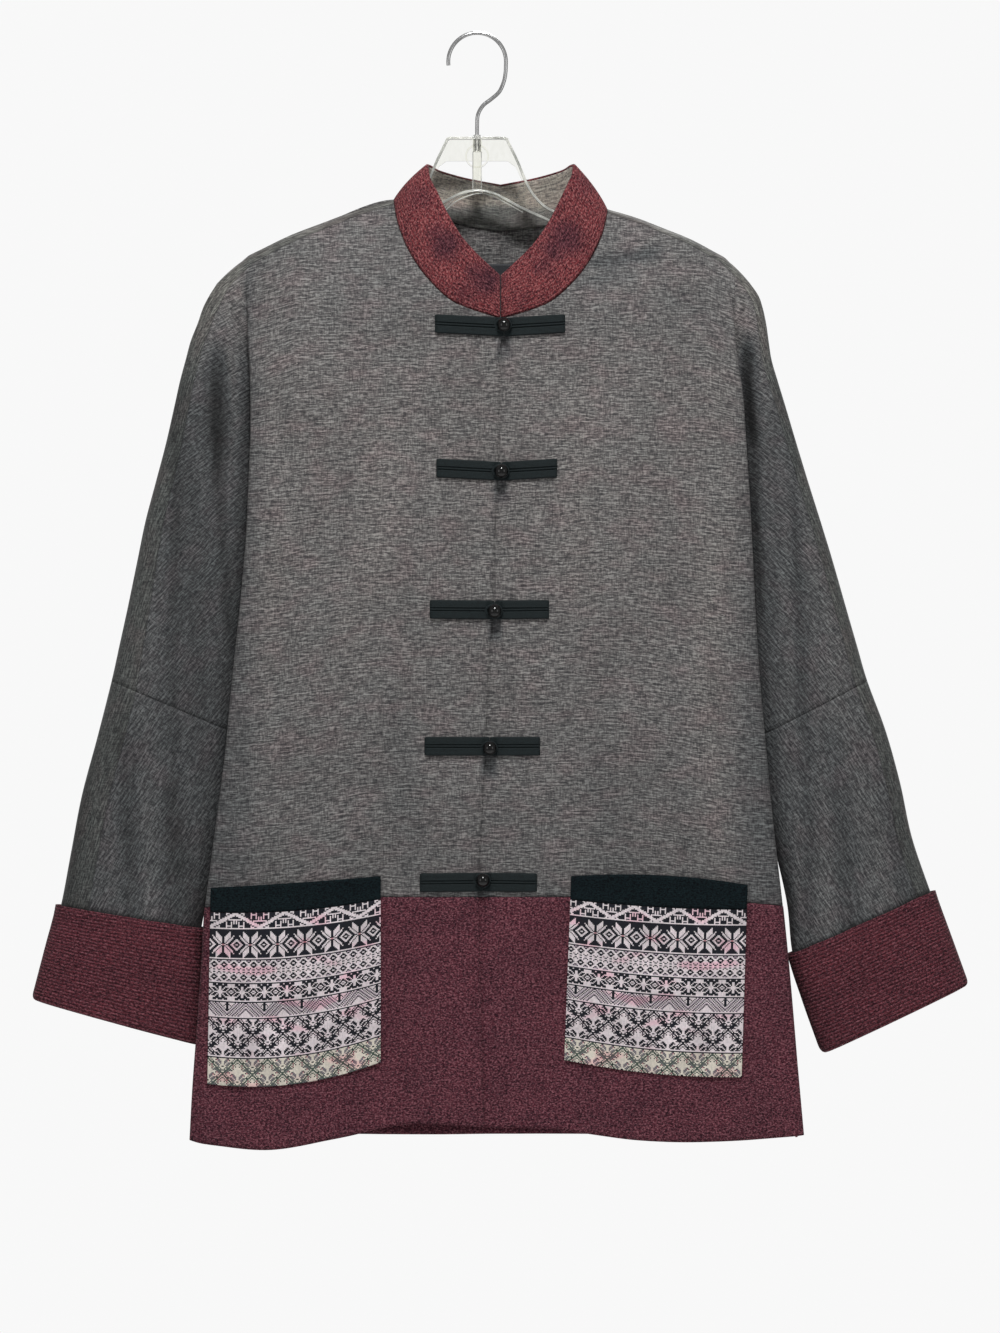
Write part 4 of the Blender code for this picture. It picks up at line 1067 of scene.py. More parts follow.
def silk_material(name, cloth, with_strip=True):
    """Grey striped silk. Past the overarm seam the back's cloth rolls over, with its own slant."""
    made, tree, shader = start_material(
        name, 0.72, Sheen_Weight=0.05, Sheen_Roughness=0.5, Specular_IOR_Level=0.22)
    weave = weave_of(tree)
    shade = named_value(tree, "Shade")
    slub = placed_group(tree, "Slub weave", Weave=weave, Ground=cloth.ground, Light=cloth.light,
                        Dark=cloth.dark, Shade=shade)
    colour, height = slub.outputs["Color"], slub.outputs["Height"]
    if with_strip:
        past = named_value(tree, "Past seam")
        other = node(tree, "ShaderNodeCombineXYZ")
        place = place_of(tree)
        join(tree, separate(tree, place, 2), other.inputs[0])
        slanted = maths(tree, "MULTIPLY_ADD", separate(tree, place, 2), 0.16,
                        maths(tree, "MULTIPLY_ADD", past, 0.001, separate(tree, place, 1)))
        join(tree, slanted, other.inputs[1])
        strip = placed_group(tree, "Slub weave", Weave=other.outputs[0], Ground=cloth.ground,
                             Light=cloth.light, Dark=cloth.dark, Shade=times(tree, shade, 0.9))
        beyond = spread(tree, past, -0.2, 0.2)
        olive = mixed(tree, 0.5, strip.outputs["Color"], (0.95, 0.97, 0.84), "MULTIPLY")
        colour = mixed(tree, beyond, colour, olive)
        line = maths(tree, "SUBTRACT", 1.0, spread(tree, maths(tree, "ABSOLUTE", past), 0.25, 0.75))
        colour = mixed(tree, times(tree, line, 0.38), colour, (0.2, 0.2, 0.22), "MULTIPLY")
        height = maths(tree, "SUBTRACT", height, line)
    fuzz = placed_group(tree, "Fibre bloom", Color=colour, Amount=0.10, Size=0.0006)
    return finished(made, tree, shader, fuzz.outputs["Color"], height, 0.00022, 0.8)


def burgundy_material(name, trim, ground, rib_pitch, rib_depth, fleck_amount):
    made, tree, shader = start_material(
        name, 0.9, Sheen_Weight=0.04, Sheen_Roughness=0.5, Specular_IOR_Level=0.12)
    heather = placed_group(tree, "Heather", Weave=weave_of(tree), Ground=ground, Fleck=trim.fleck,
                           Fleck_Amount=fleck_amount, Rib_Pitch=rib_pitch, Rib_Depth=rib_depth)
    fuzz = placed_group(tree, "Fibre bloom", Color=heather.outputs["Color"], Amount=0.08, Size=0.0007)
    return finished(made, tree, shader, fuzz.outputs["Color"], heather.outputs["Height"], 0.0004, 0.9)


def collar_material(trim):
    """Brighter red with dark tonal patches, from the value kept at each point of the band."""
    made, tree, shader = start_material(
        "Collar cloth", 0.9, Sheen_Weight=0.05, Sheen_Roughness=0.5, Specular_IOR_Level=0.12)
    weave = weave_of(tree)
    rough = noisy(tree, weave, (120, 150), 3.0, 0.65)
    patch = maths(tree, "ADD", named_value(tree, "Patch"), maths(tree, "MULTIPLY_ADD", rough, 0.9, -0.45))
    patch = times(tree, spread(tree, patch, 0.0, 1.15), 0.88)
    ground = mixed(tree, patch, tuple(trim.collar), tuple(trim.patch))
    fleck = mixed(tree, patch, (0.35, 0.135, 0.13), (0.12, 0.045, 0.06))
    heather = placed_group(tree, "Heather", Weave=weave, Ground=ground, Fleck=fleck,
                           Fleck_Amount=0.72, Rib_Pitch=0.0026, Rib_Depth=0.42)
    return finished(made, tree, shader, heather.outputs["Color"], heather.outputs["Height"], 0.00035, 0.9)


def facing_material():
    made, tree, shader = start_material(
        "Collar facing", 0.75, Sheen_Weight=0.15, Sheen_Roughness=0.5, Specular_IOR_Level=0.3)
    slub = placed_group(tree, "Slub weave", Weave=weave_of(tree), Ground=(0.27, 0.235, 0.20),
                        Light=(0.42, 0.38, 0.33), Dark=(0.11, 0.10, 0.095),
                        Shade=named_value(tree, "Shade"))
    return finished(made, tree, shader, slub.outputs["Color"], slub.outputs["Height"], 0.0002, 0.7)


def woven_black(name, colour, pitch, depth):
    """Black ribbon cloth with a close rib."""
    made, tree, shader = start_material(
        name, 0.85, Sheen_Weight=0.0, Specular_IOR_Level=0.10)
    heather = placed_group(tree, "Heather", Weave=weave_of(tree), Ground=colour, Fleck=(0.010, 0.019, 0.022),
                           Fleck_Amount=0.4, Rib_Pitch=pitch, Rib_Depth=depth)
    return finished(made, tree, shader, heather.outputs["Color"], heather.outputs["Height"], 0.0002, 0.8)


def brocade_material():
    """Brocade: the colour woven at each point, over the raised picks of the weave."""
    made, tree, shader = start_material(
        "Brocade", 0.7, Sheen_Weight=0.02, Sheen_Roughness=0.4, Specular_IOR_Level=0.15)
    weave = weave_of(tree)
    thread = node(tree, "ShaderNodeAttribute", attribute_name="Thread")
    grain = noisy(tree, weave, (500, 1700), 2.0, 0.6)
    colour = shaded(tree, thread.outputs["Color"], spread(tree, grain, 0.25, 0.75),
                    (0.80, 0.80, 0.82), (1.15, 1.15, 1.13))
    picks = maths(tree, "SINE", times(tree, separate(tree, weave, 1), 2 * pi / BROCADE_PICK))
    height = maths(tree, "ADD", times(tree, picks, 0.3), grain)
    return finished(made, tree, shader, colour, height, 0.00025, 0.8)


def cord_material(fasteners):
    made, tree, shader = start_material(
        "Frog cord", 0.7, Sheen_Weight=0.02, Sheen_Roughness=0.5, Specular_IOR_Level=0.2)
    twist, colour = mottled(tree, fasteners.cord, (900, 900, 2600), (0.35, 0.65), (0.5, 0.5, 0.5),
                            (1.5, 1.6, 1.6), 2.0)
    return finished(made, tree, shader, colour, twist, 0.0002, 0.8)


def ball_material(fasteners):
    """Polished black ball with faint wear."""
    made, tree, shader = start_material("Black ball", 0.05, Specular_IOR_Level=0.4)
    wear, colour = mottled(tree, fasteners.ball, (420, 420, 420), (0.4, 0.8), (0.6, 0.6, 0.6),
                            (1.6, 1.6, 1.6))
    join(tree, colour, shader.inputs["Base Color"])
    join(tree, maths(tree, "MULTIPLY_ADD", wear, 0.06, 0.01), shader.inputs["Roughness"])
    return made


def label_material():
    made, tree, shader = start_material("Plain label", 0.6, Specular_IOR_Level=0.3)
    weave = weave_of(tree)
    grain = noisy(tree, weave, (900, 1400), 2.0, 0.6)
    colour = mixed(tree, spread(tree, grain, 0.3, 0.7), (0.010, 0.011, 0.014), (0.035, 0.036, 0.042))
    return finished(made, tree, shader, colour, grain, 0.0002, 0.7)


def plastic_material(hanger):
    """Clear moulded plastic with faint scuffs, and painted shade where its surface is seen edge-on."""
    made, tree, shader = start_material("Clear plastic", 0.05, IOR=1.49, Transmission_Weight=1.0)
    scuffs, clear = mottled(tree, hanger.plastic, (300, 300, 120), (0.35, 0.75), (1.0, 1.0, 1.0),
                            (0.94, 0.94, 0.93))
    # Painted shade: the colour turns dark grey where the surface is seen edge-on, for the dark rims of clear
    # plastic
    slope = node(tree, "ShaderNodeLayerWeight")
    slope.inputs["Blend"].default_value = 0.5
    edge = spread(tree, slope.outputs["Facing"], 0.12, 0.5)
    join(tree, mixed(tree, edge, clear, (0.34, 0.35, 0.34)), shader.inputs["Base Color"])
    join(tree, times(tree, scuffs, 0.10), shader.inputs["Roughness"])
    return made


def bead_material(hanger):
    """The moulded beads along the hanger's edges, which catch the light."""
    made, tree, shader = start_material("Moulded bead", 0.12, IOR=1.49, Transmission_Weight=0.45)
    uneven, colour = mottled(tree, hanger.plastic, (60, 60, 60), (0.35, 0.65), (0.50, 0.51, 0.50),
                            (0.98, 0.98, 0.96))
    join(tree, colour, shader.inputs["Base Color"])
    join(tree, maths(tree, "MULTIPLY_ADD", uneven, 0.15, 0.05), shader.inputs["Roughness"])
    return made


def wire_material(hanger):
    made, tree, shader = start_material("Plated wire", 0.22, Metallic=1.0)
    drawn, colour = mottled(tree, hanger.wire, (700, 700, 120), (0.3, 0.7), (0.8, 0.8, 0.8),
                            (1.05, 1.05, 1.05))
    join(tree, colour, shader.inputs["Base Color"])
    join(tree, maths(tree, "MULTIPLY_ADD", drawn, 0.25, 0.12), shader.inputs["Roughness"])
    return made


# Silk panels and sleeves

# Width of the back's cloth that rolls over to the front, as depth below the hook and width
STRIP_WIDTH = {
    "right": ((141, 4), (200, 8), (230, 12), (290, 12), (450, 17), (560, 23), (900, 25)),
    "left": ((141, 3), (200, 6), (260, 8), (420, 9), (600, 12), (900, 14)),
}

# Distance of the sleeve's pressed line from the centre
PRESSED_LINE = {"right": 278.0, "left": 254.0}

# A value of "Past seam" that lies far inside the seam
WELL_INSIDE = -50.0

# How far below its level a piece starts under a seam, as a share of a level
BELOW_SEAM = 0.006


def silhouette(side):
    """Outline of shoulder and overarm in the front view, from the neck down."""
    top = body_grid(side, "front", [0.0], 5.0)[0][:, (0, 2)]
    shoulder = sleeve_grid(side, "front", [0.0], 5.0)[0][:, (0, 2)]
    rows = LAST_SLEEVE_ROW * np.linspace(0, 1, 120)
    arm = fine(sleeve_net(side, "front"), rows, [7.0])[:, 0][:, (0, 2)]
    return np.concatenate([top, shoulder, arm])


def past_seam(side, grid):
    """How far a point lies past the overarm seam, towards the back's cloth, in millimetres."""
    width = read(STRIP_WIDTH[side], -grid[..., 2])
    return width - edge_distance(grid, silhouette(side))


def painted_relief_shade(face, grid):
    """Painted highlight and shade of the creases: paler on ridges and on the side towards the middle light,
    darker in troughs, with painted shade in the hollows.
    """
    x, z = grid[..., 0], grid[..., 2]
    height = soft_lines(CREASES, face, x, z)
    slope = soft_lines(CREASES, face, x + 2.0, z) - soft_lines(CREASES, face, x - 2.0, z)
    relief = np.clip(1 + 0.07 * height - 0.12 * slope * np.sign(x - CENTRE_X), 0.6, 1.3)
    return relief * (1 - np.minimum(0.6, soft_lines(PAINTED_HOLLOW_SHADE, face, x, z)))


def painted_silk_shade(side, face, grid, sleeve):
    """Painted shade on the silk: darker on the sleeves, low down, at the top and side of the body, under the
    arm, in creases and hollows, and a painted shadow below each ball.
    """
    p = SIDES[side] * (grid[..., 0] - CENTRE_X)
    z = grid[..., 2]
    low = smooth((-z - 380) / 360)
    outer = smooth((p - 180) / 60) * smooth((-z - 200) / 110)
    if sleeve:
        # Painted shade: the sleeve darker towards its outer part and lower down
        shade = 0.95 - (0.38 if side == "right" else 0.30) * outer - 0.06 * smooth((-z - 320) / 200)
        # Painted shade in the hollow under the arm, next to the body's side fold
        off = p - read(BODY_EDGE[side], z)
        underarm_shade = smooth((16 - off) / 14) * smooth((-z - 250) / 60) * (1 - 0.5 * smooth((-z - 420) / 160))
        # Painted shade on the part of the sleeve inside its pressed line, which turns from the light
        pressed = PRESSED_LINE[side]
        inner = smooth((pressed - p) / 3.5) * smooth((-z - 270) / 60)
        return shade * (1 - 0.50 * underarm_shade) * (1 - 0.20 * inner) * painted_relief_shade("sleeve", grid)
    # Painted shade on the body: darker low down, at its side and at the top
    shade = 0.93 - 0.11 * low - 0.22 * smooth((p - 190) / 30) * smooth((-z - 230) / 100)
    shade = (shade - 0.09 * smooth((z + 300) / 90)) * painted_relief_shade(face, grid)
    if face == "back":
        return shade
    # Painted shadow of each ball on the cloth below it
    for frog in FROGS:
        across = smooth((7.5 - np.abs(grid[..., 0] - frog.ball_x)) / 3)
        down = smooth((frog.z_mid - 4 - z) / 3) * smooth((z - frog.z_mid + 30) / 8)
        shade = shade * (1 - 0.42 * across * down)
    return shade


def silk_values(side, face, points, sleeve):
    """A grid of silk with its weave coordinates and named values."""
    weave = sleeve_weave(side, points) if sleeve else body_weave(side, points)
    past = past_seam(side, points) if face == "front" else np.full(points.shape[:2], WELL_INSIDE)
    shade = painted_silk_shade(side, face, points, sleeve)
    return {"points": points, "weave": weave, "Past seam": past, "Shade": shade}


def half_panel(side, face, step):
    """Body and upper sleeve of one half; they share the inmost line of the fold above the underarm."""
    rows = row_places(body_net(side, face), 0, PANEL_ROW, step)
    body = silk_values(side, face, body_grid(side, face, rows, step), False)
    shared = rows[rows <= UNDERARM_ROW + 1e-6]
    below = row_places(sleeve_net(side, face), UNDERARM_ROW, UPPER_SLEEVE_ROW, step)[1:]
    sleeve_rows = np.concatenate([shared, below])
    points = sleeve_grid(side, face, sleeve_rows, step)
    points[:len(shared), 0] = body["points"][:len(shared), -1]
    sleeve = silk_values(side, face, points, True)
    for grid in (body, sleeve):
        top = grid["points"][0]
        level_top = np.abs(top[:, 1]) < SHOULDER_GAP
        top[level_top, 1] = FACES[face] * SHOULDER_GAP
    return [body, sleeve]


def make_panels(cloth):
    step = cloth.step / MM
    silk = silk_material("Striped silk", cloth)
    plain = silk_material("Striped silk inside", cloth, with_strip=False)
    for side in SIDES:
        cloth_piece("silk_front_" + side, "front_" + side, half_panel(side, "front", step), silk,
                    cloth.wall, "silk")
    halves = half_panel("right", "back", step) + half_panel("left", "back", step)
    cloth_piece("silk_back", "back", halves, plain, cloth.wall, "silk")
    for side in SIDES:
        cloth_piece("silk_sleeve_" + side, "sleeve_lower_" + side, [lower_sleeve_grid(side, step)], silk,
                    cloth.wall, "silk", closed=True)


def sleeve_ring(side, rows, step):
    """Closed rings of the sleeve: across its front and back again behind."""
    front = sleeve_grid(side, "front", rows, step)
    back = sleeve_grid(side, "back", rows, step)
    return np.concatenate([front, back[:, -2:0:-1]], 1)


def lower_sleeve_grid(side, step):
    net = sleeve_net(side, "front")
    rows = row_places(net, UPPER_SLEEVE_ROW, LAST_SLEEVE_ROW, step)
    rows[0] += BELOW_SEAM
    points = sleeve_ring(side, rows, step)
    past = past_seam(side, points)
    columns = points.shape[1]
    past[points[..., 1] > 0] = WELL_INSIDE
    overarm = past[:, columns // 2 - 1:columns // 2 + 2]
    overarm[:] = np.maximum(overarm, 5.0)
    # Painted shadow of the cuff on the sleeve just above its top edge
    above_cuff = LAST_SLEEVE_ROW - 2 - rows[:, None]
    shade = painted_silk_shade(side, "front", points, True) * (1 - 0.65 * (1 - smooth((above_cuff - 0.02) / 0.07)))
    return {"points": points, "weave": sleeve_weave(side, points), "Past seam": past, "Shade": shade}


# Cuffs

def grown(ring, by):
    """A ring moved outward all round, in its own plane."""
    tangent = np.roll(ring, -1, 0) - np.roll(ring, 1, 0)
    out = unit(np.stack([tangent[:, 1], -tangent[:, 0], np.zeros(len(ring))], 1))
    if ((ring - ring.mean(0)) * out).sum() < 0:
        out = -out
    return ring + by * out


def cuff_grid(side, step):
    """Turned-back cuff: down outside the sleeve, round the wrist edge and up inside it."""
    rows = np.linspace(LAST_SLEEVE_ROW - 2, LAST_SLEEVE_ROW, 20)
    rings = sleeve_ring(side, rows, step)
    wrist = rings[-1]
    down = unit(wrist - rings[-4])
    made = []
    for share, ring in zip(np.linspace(0, 1, len(rings)), rings):
        flare = CUFF_FLARE * max(0.0, 1 - share / 0.12)
        made.append(grown(ring, blend(CUFF_STAND_TOP, CUFF_STAND_LOW, share) + flare))
    middle = 0.5 * (CUFF_STAND_LOW + CUFF_INSIDE)
    half = 0.5 * (CUFF_STAND_LOW - CUFF_INSIDE)
    for angle in np.linspace(0, pi, 9)[1:]:
        made.append(grown(wrist + down * CUFF_TURN * sin(angle), middle + half * cos(angle)))
    for back in (4.0, 9.0, CUFF_HEM):
        made.append(grown(wrist - down * back, CUFF_INSIDE))
    return np.array(made)


def weave_grid(run, rise):
    """Coordinates along and across a cloth in metres, from its steps in millimetres."""
    u = np.concatenate([[0.0], np.cumsum(run)])
    v = np.concatenate([[0.0], np.cumsum(rise)])
    return np.stack(np.meshgrid(u, v), -1) * MM + 1.0


def ring_weave(points):
    """Coordinates round a tube and along it."""
    return weave_grid(sizes(np.diff(points, axis=1)).mean(0), sizes(np.diff(points, axis=0)).mean(1))


def strip_weave(points):
    """Coordinates along and across a strip, from its first row and its middle."""
    run = sizes(np.diff(points[0], axis=0))
    return weave_grid(run, sizes(np.diff(points[:, len(run) // 2], axis=0)))


def make_cuffs(cloth, trim):
    redder = tuple(blend(a, b, 0.35) for a, b in zip(trim.burgundy, trim.collar))
    burgundy = burgundy_material("Cuff cloth", trim, redder, 0.0030, 0.85, 0.5)
    for side in SIDES:
        points = cuff_grid(side, cloth.step / MM)
        grid = {"points": points, "weave": ring_weave(points)}
        cloth_piece("burgundy_cuff_" + side, "cuff_" + side, [grid], burgundy, CUFF_WALL * MM,
                    "burgundy", closed=True)


# Hem band

def flat_weave(points):
    """Weave coordinates straight across, from the front view, in metres."""
    return points[..., (0, 2)] * MM + 1.0


def hem_grid(side, face, step):
    net = body_net(side, face)
    rows = row_places(net, PANEL_ROW, HEM_ROW, step)
    rows[0] += BELOW_SEAM
    points = body_grid(side, face, rows, step)
    return {"points": points, "weave": flat_weave(points)}


def make_hems(cloth, trim):
    burgundy = burgundy_material("Hem cloth", trim, trim.burgundy, 0.0031, 0.10, 0.62)
    step = cloth.step / MM
    for side in SIDES:
        cloth_piece("burgundy_hem_" + side, "hem_front_" + side, [hem_grid(side, "front", step)], burgundy,
                    HEM_WALL * MM, "burgundy")
    halves = [hem_grid(side, "back", step) for side in SIDES]
    cloth_piece("burgundy_hem_back", "hem_back", halves, burgundy, HEM_WALL * MM, "burgundy")


# Collar

def neck_ring(side):
    """Points of the neck seam on one side, from the centre front to the centre back."""
    ring = [body_row(side, "front", level)[0] for level in NECK_ROWS]
    edge = along(body_row(side, "back", 0), np.linspace(0, 7, 141))
    far = np.abs(edge[:, 0] - CENTRE_X)
    for p in COLLAR_BACK_P:
        ring.append([np.interp(p, far, edge[:, axis]) for axis in range(3)])
    return np.array(ring, float)


def collar_frame(parts):
    """Bottom and top line of the collar, all round from the right front to the left front."""
    low, high = [], []
    for side in SIDES:
        bottom = neck_ring(side)
        top = np.array([(CENTRE_X + SIDES[side] * p, y, z) for p, y, z in COLLAR_TOP])
        bottom[0, 0] = top[0, 0]
        at = np.linspace(0, len(COLLAR_TOP) - 1, parts)
        bottom, top = along(bottom, at), along(top, at)
        if side == "left":
            bottom, top = bottom[-2::-1], top[-2::-1]
        low.append(bottom)
        high.append(top)
    return np.concatenate(low), np.concatenate(high)


def collar_grid(setback, lift_off, parts=110, rows=16, roll=False):
    low, high = collar_frame(parts)
    out = unit(np.stack([high[:, 0] - CENTRE_X, high[:, 1] * 2.0, np.zeros(len(high))], 1))
    lift = unit(high - low)
    made = []
    wave = np.array([noise.noise((i * 0.09, 0.0, 5.0)) for i in range(len(low))])[:, None]
    for share in np.linspace(0, 1, rows):
        point = low + lift * lift_off + (high - low - lift * lift_off) * share
        bulge = COLLAR_BULGE * 4 * share * (1 - share) + 0.7 * wave * share
        made.append(point + out * bulge)
    points = np.array(made)
    if setback:
        points = points - surface_normals(points, out) * setback
    if roll:
        normals = surface_normals(points, out)[-1]
        top = points[-1]
        radius = 0.5 * (FACING_SETBACK - 0.2)
        arc = [top - normals * radius * (1 - cos(a)) + lift * radius * sin(a)
               for a in np.linspace(0, pi, 7)[1:]]
        points = np.concatenate([points, np.array(arc)])
    return points


def surface_normals(points, out):
    """Outward normals of a grid of points."""
    normals = unit(np.cross(np.gradient(points, axis=1), np.gradient(points, axis=0)))
    facing = (normals * out[None]).sum(-1)
    return normals * np.where(facing < 0, -1.0, 1.0)[..., None]


def make_collar(trim):
    outer = collar_grid(0.0, 0.6, roll=True)
    patch = np.zeros(outer.shape[:2])
    for spot in COLLAR_PATCHES:
        off = np.sqrt((outer[..., 0] - spot.x) ** 2 + (outer[..., 2] - spot.z) ** 2)
        patch = np.maximum(patch, spot.strength * smooth(1.35 - off / spot.radius))
    grid = {"points": outer, "weave": strip_weave(outer), "Patch": patch}
    cloth_piece("collar_cloth", "collar_outer", [grid], collar_material(trim), COLLAR_WALL * MM, "collar")
    inner = collar_grid(FACING_SETBACK, -1.6)
    # Painted shade on the facing: darker low down inside the collar, reaching higher near the middle
    rise = np.linspace(0, 1, len(inner))[:, None]
    middle = np.abs(inner[..., 0] - CENTRE_X) / 60
    shade = 1 - 0.62 * (1 - smooth((rise - 0.12 - 0.35 * (1 - middle)) / 0.22))
    grid = {"points": inner, "weave": strip_weave(inner), "Shade": shade}
    cloth_piece("facing_cloth", "collar_facing", [grid], facing_material(), FACING_WALL * MM, "facing")


# Pieces laid on the panels

def surface_of(names):
    """Outer surface of built pieces, to lay others on."""
    bpy.context.view_layer.update()
    graph = bpy.context.evaluated_depsgraph_get()
    return [BVHTree.FromObject(bpy.data.objects[name], graph) for name in names]


def first_hit(trees, x, z, start_y=-200.0):
    """Y of the first cloth met on the way back from a start."""
    start = Vector((x, start_y, z)) * MM
    hits = [tree.ray_cast(start, Vector((0, 1, 0)))[0] for tree in trees]
    found = [hit.y / MM for hit in hits if hit is not None]
    return min(found) if found else None


def foremost(trees, x, z, half_width, half_height):
    """Y of the cloth that stands out most round a point."""
    hits = []
    for dx in (-half_width, 0.0, half_width):
        for dz in (-half_height, 0.0, half_height):
            hits.append(first_hit(trees, x + dx, z + dz))
    return min(hit for hit in hits if hit is not None)


def smoothed(values):
    """Heights evened out along both ways."""
    for axis in (0, 1):
        padded = np.concatenate([values.take([0], axis), values, values.take([-1], axis)], axis)
        count = values.shape[axis]
        parts = [padded.take(range(i, i + count), axis) for i in range(3)]
        values = 0.25 * parts[0] + 0.5 * parts[1] + 0.25 * parts[2]
    return values


def laid_surface(trees, outline, across, down, out):
    """Grid laid on the panels: outline gives X and Z at shares across and down."""
    xs, zs = np.zeros((down + 1, across + 1)), np.zeros((down + 1, across + 1))
    ys = np.zeros_like(xs)
    for j in range(down + 1):
        for i in range(across + 1):
            x, z = outline(i / across, j / down)
            xs[j, i], zs[j, i] = x, z
            ys[j, i] = foremost(trees, x, z, 4.0, 4.0)
    ys = np.minimum(ys, smoothed(smoothed(ys)))
    return np.stack([xs, smoothed(ys) - out, zs], -1)


def pocket_height(shape):
    return shape.top_outer[1] - shape.low_outer[1]


def band_share(shape):
    """How much of a pocket's height its top band takes up."""
    return POCKET_BAND / pocket_height(shape)


def pocket_outline(side, top_share, low_share):
    """Outline of part of a pocket, with its edges' sag, as a function of shares across and down."""
    shape = POCKETS[side]
    sag_top, sag_band, sag_low = POCKET_SAG[side]
    band = band_share(shape)

    def place(u, v):
        share = blend(top_share, low_share, v)
        top = [blend(a, b, u) for a, b in zip(shape.top_outer, shape.top_inner)]
        low = [blend(a, b, u) for a, b in zip(shape.low_outer, shape.low_inner)]
        sag = blend(sag_top, sag_band, share / band) if share < band else blend(
            sag_band, sag_low, (share - band) / (1 - band))
        arch = 4 * u * (1 - u)
        return blend(top[0], low[0], share), blend(top[1], low[1], share) - sag * arch

    return place


# Colours of the brocade's threads, in the order used below
THREADS = np.array((
    (0.006, 0.007, 0.012), (0.64, 0.575, 0.595), (0.30, 0.24, 0.29), (0.12, 0.09, 0.11),
    (0.60, 0.555, 0.48), (0.46, 0.22, 0.24), (0.060, 0.085, 0.068), (0.15, 0.135, 0.15)))
BLACK, WHITE, LILAC, MAUVE, CREAM, PINK, GREEN, GREY = range(8)

Band = namedtuple("Band", "motif rows pitch_right pitch_left")
BROCADE = [Band(*row) for row in (
    ("keys", 12, 40, 36), ("stars", 22, 22, 22), ("rings", 17, 8, 8), ("asters", 13, 18, 18),
    ("chevrons", 11, 30, 30), ("flowers", 30, 24, 24), ("lattice", 60, 24, 24))]


def petals(x, y, size):
    """Eight-petal star round the origin, on absolute coordinates."""
    near, far = np.minimum(x, y), np.maximum(x, y)
    return (near >= 1) & (near <= size) & (far >= near + 1) & (far <= near + size)


def to_centre(count, pitch):
    """Distance in cells from the nearest motif centre."""
    return np.abs(count % pitch - (pitch - 1) / 2 + 0.25).astype(int)


def key_rows(row, column, rows, pitch):
    """Standing and hanging triangles with a square key in each."""
    saw = np.abs((column / (pitch / 2)) % 2 - 1) * (rows - 1)
    up = row >= saw
    inside = np.where(up, row - saw, saw - row)
    shifted = np.where(up, column, column + pitch / 2)
    x = np.abs(shifted % pitch - pitch / 2).astype(int)
    y = np.where(up, rows - 2 - row, row - 1)
    key = (x <= 7) & (y <= 5) & ((x == 7) | (y == 5) | (x == 1) & (y >= 2) | (y == 0) & (x >= 3) | (
        x == 3) & (y <= 3))
    made = np.where(inside < 1.6, WHITE, BLACK)
    made = np.where((x > 12) & (y < 3) & (inside > 2.4), WHITE, made)
    return np.where(key & (inside >= 2.2), WHITE, made)


def star_rows(row, column, rows, pitch):
    """Eight-petal stars side by side with a checked diamond between each two."""
    x, y = to_centre(column, pitch), np.abs(row - rows // 2)
    beside = pitch // 2 - x
    made = np.where(petals(x, y, 5) & (x != y), WHITE, BLACK)
    made = np.where((x == 0) & (y == 0), PINK, made)
    checks = np.where((beside + y) % 4 < 2, WHITE, BLACK)
    made = np.where(beside + y <= 7, checks, made)
    made = np.where(beside + y == 8, BLACK, made)
    return np.where((beside + y == 10) & (y < 8), WHITE, made)


def ring_rows(row, column, rows, pitch):
    """Two rows of rings with a row of small flowers between them."""
    x = to_centre(column, pitch)
    y = np.where(row < rows / 2, np.abs(row - 3), np.abs(row - rows + 4))
    made = np.where((x + y >= 3) & (np.maximum(x, y) <= 3) & (x + y < 5), WHITE, BLACK)
    made = np.where((x == 0) & (y == 0), WHITE, made)
    middle = np.abs(row - rows // 2)
    aside = pitch // 2 - x
    made = np.where((aside + middle <= 4) & (aside != middle), WHITE, made)
    return np.where((x >= 3) & (y >= 3) & (middle > 3), LILAC, made)


def aster_rows(row, column, rows, pitch):
    """Black flowers on white with a small diamond between each two."""
    x, y = to_centre(column, pitch), np.abs(row - rows // 2)
    beside = pitch // 2 - x
    made = np.where(petals(x, y, 3), BLACK, WHITE)
    made = np.where((beside + y >= 3) & (beside + y <= 4), BLACK, made)
    made = np.where(beside + y <= 1, GREY, made)
    return np.where((y >= 5) & (x % 4 < 2) & (beside > 3), BLACK, made)


def chevron_rows(row, column, rows, pitch):
    """Nested zigzags with half flowers in their hollows."""
    x = to_centre(column, pitch)
    made = np.choose((row + x) % 5, (WHITE, BLACK, WHITE, LILAC, BLACK))
    beside = pitch // 2 - x
    made = np.where((x + row < 6) & ((x == row) | (x == 0)), BLACK, np.where(x + row < 6, WHITE, made))
    return np.where((beside + rows - row < 6) & (beside > 0), WHITE, made)


def lattice_rows(row, column, pitch, ground, line, petal, speck):
    """Diamonds between slanting double lines, with a flower in each."""
    half = pitch // 2
    x = to_centre(column + half * ((row // half) % 2), pitch)
    y = np.abs(row % half - half // 2)
    slant = to_centre(column + row, pitch)
    other = to_centre(column - row, pitch)
    far = np.maximum(slant, other)
    made = np.where((x + y == 9) & (x % 2 == 0), speck, ground)
    made = np.where((x + y == 10) & (x % 3 > 0), BLACK, made)
    made = np.where(petals(x, y, 3), petal, made)
    made = np.where((x + y == 0), BLACK, made)
    return np.where((far == half - 1) | (far == half - 3), line, made)


def motif_cells(motif, row, column, rows, pitch):
    """Thread numbers of a band of the brocade."""
    if motif == "lattice":
        return lattice_rows(row, column, pitch, CREAM, GREEN, GREY, PINK)
    if motif == "flowers":
        return lattice_rows(row, column, pitch, WHITE, BLACK, BLACK, MAUVE)
    drawn = {"keys": key_rows, "stars": star_rows, "rings": ring_rows, "asters": aster_rows,
             "chevrons": chevron_rows}
    return drawn[motif](row, column, rows, pitch)


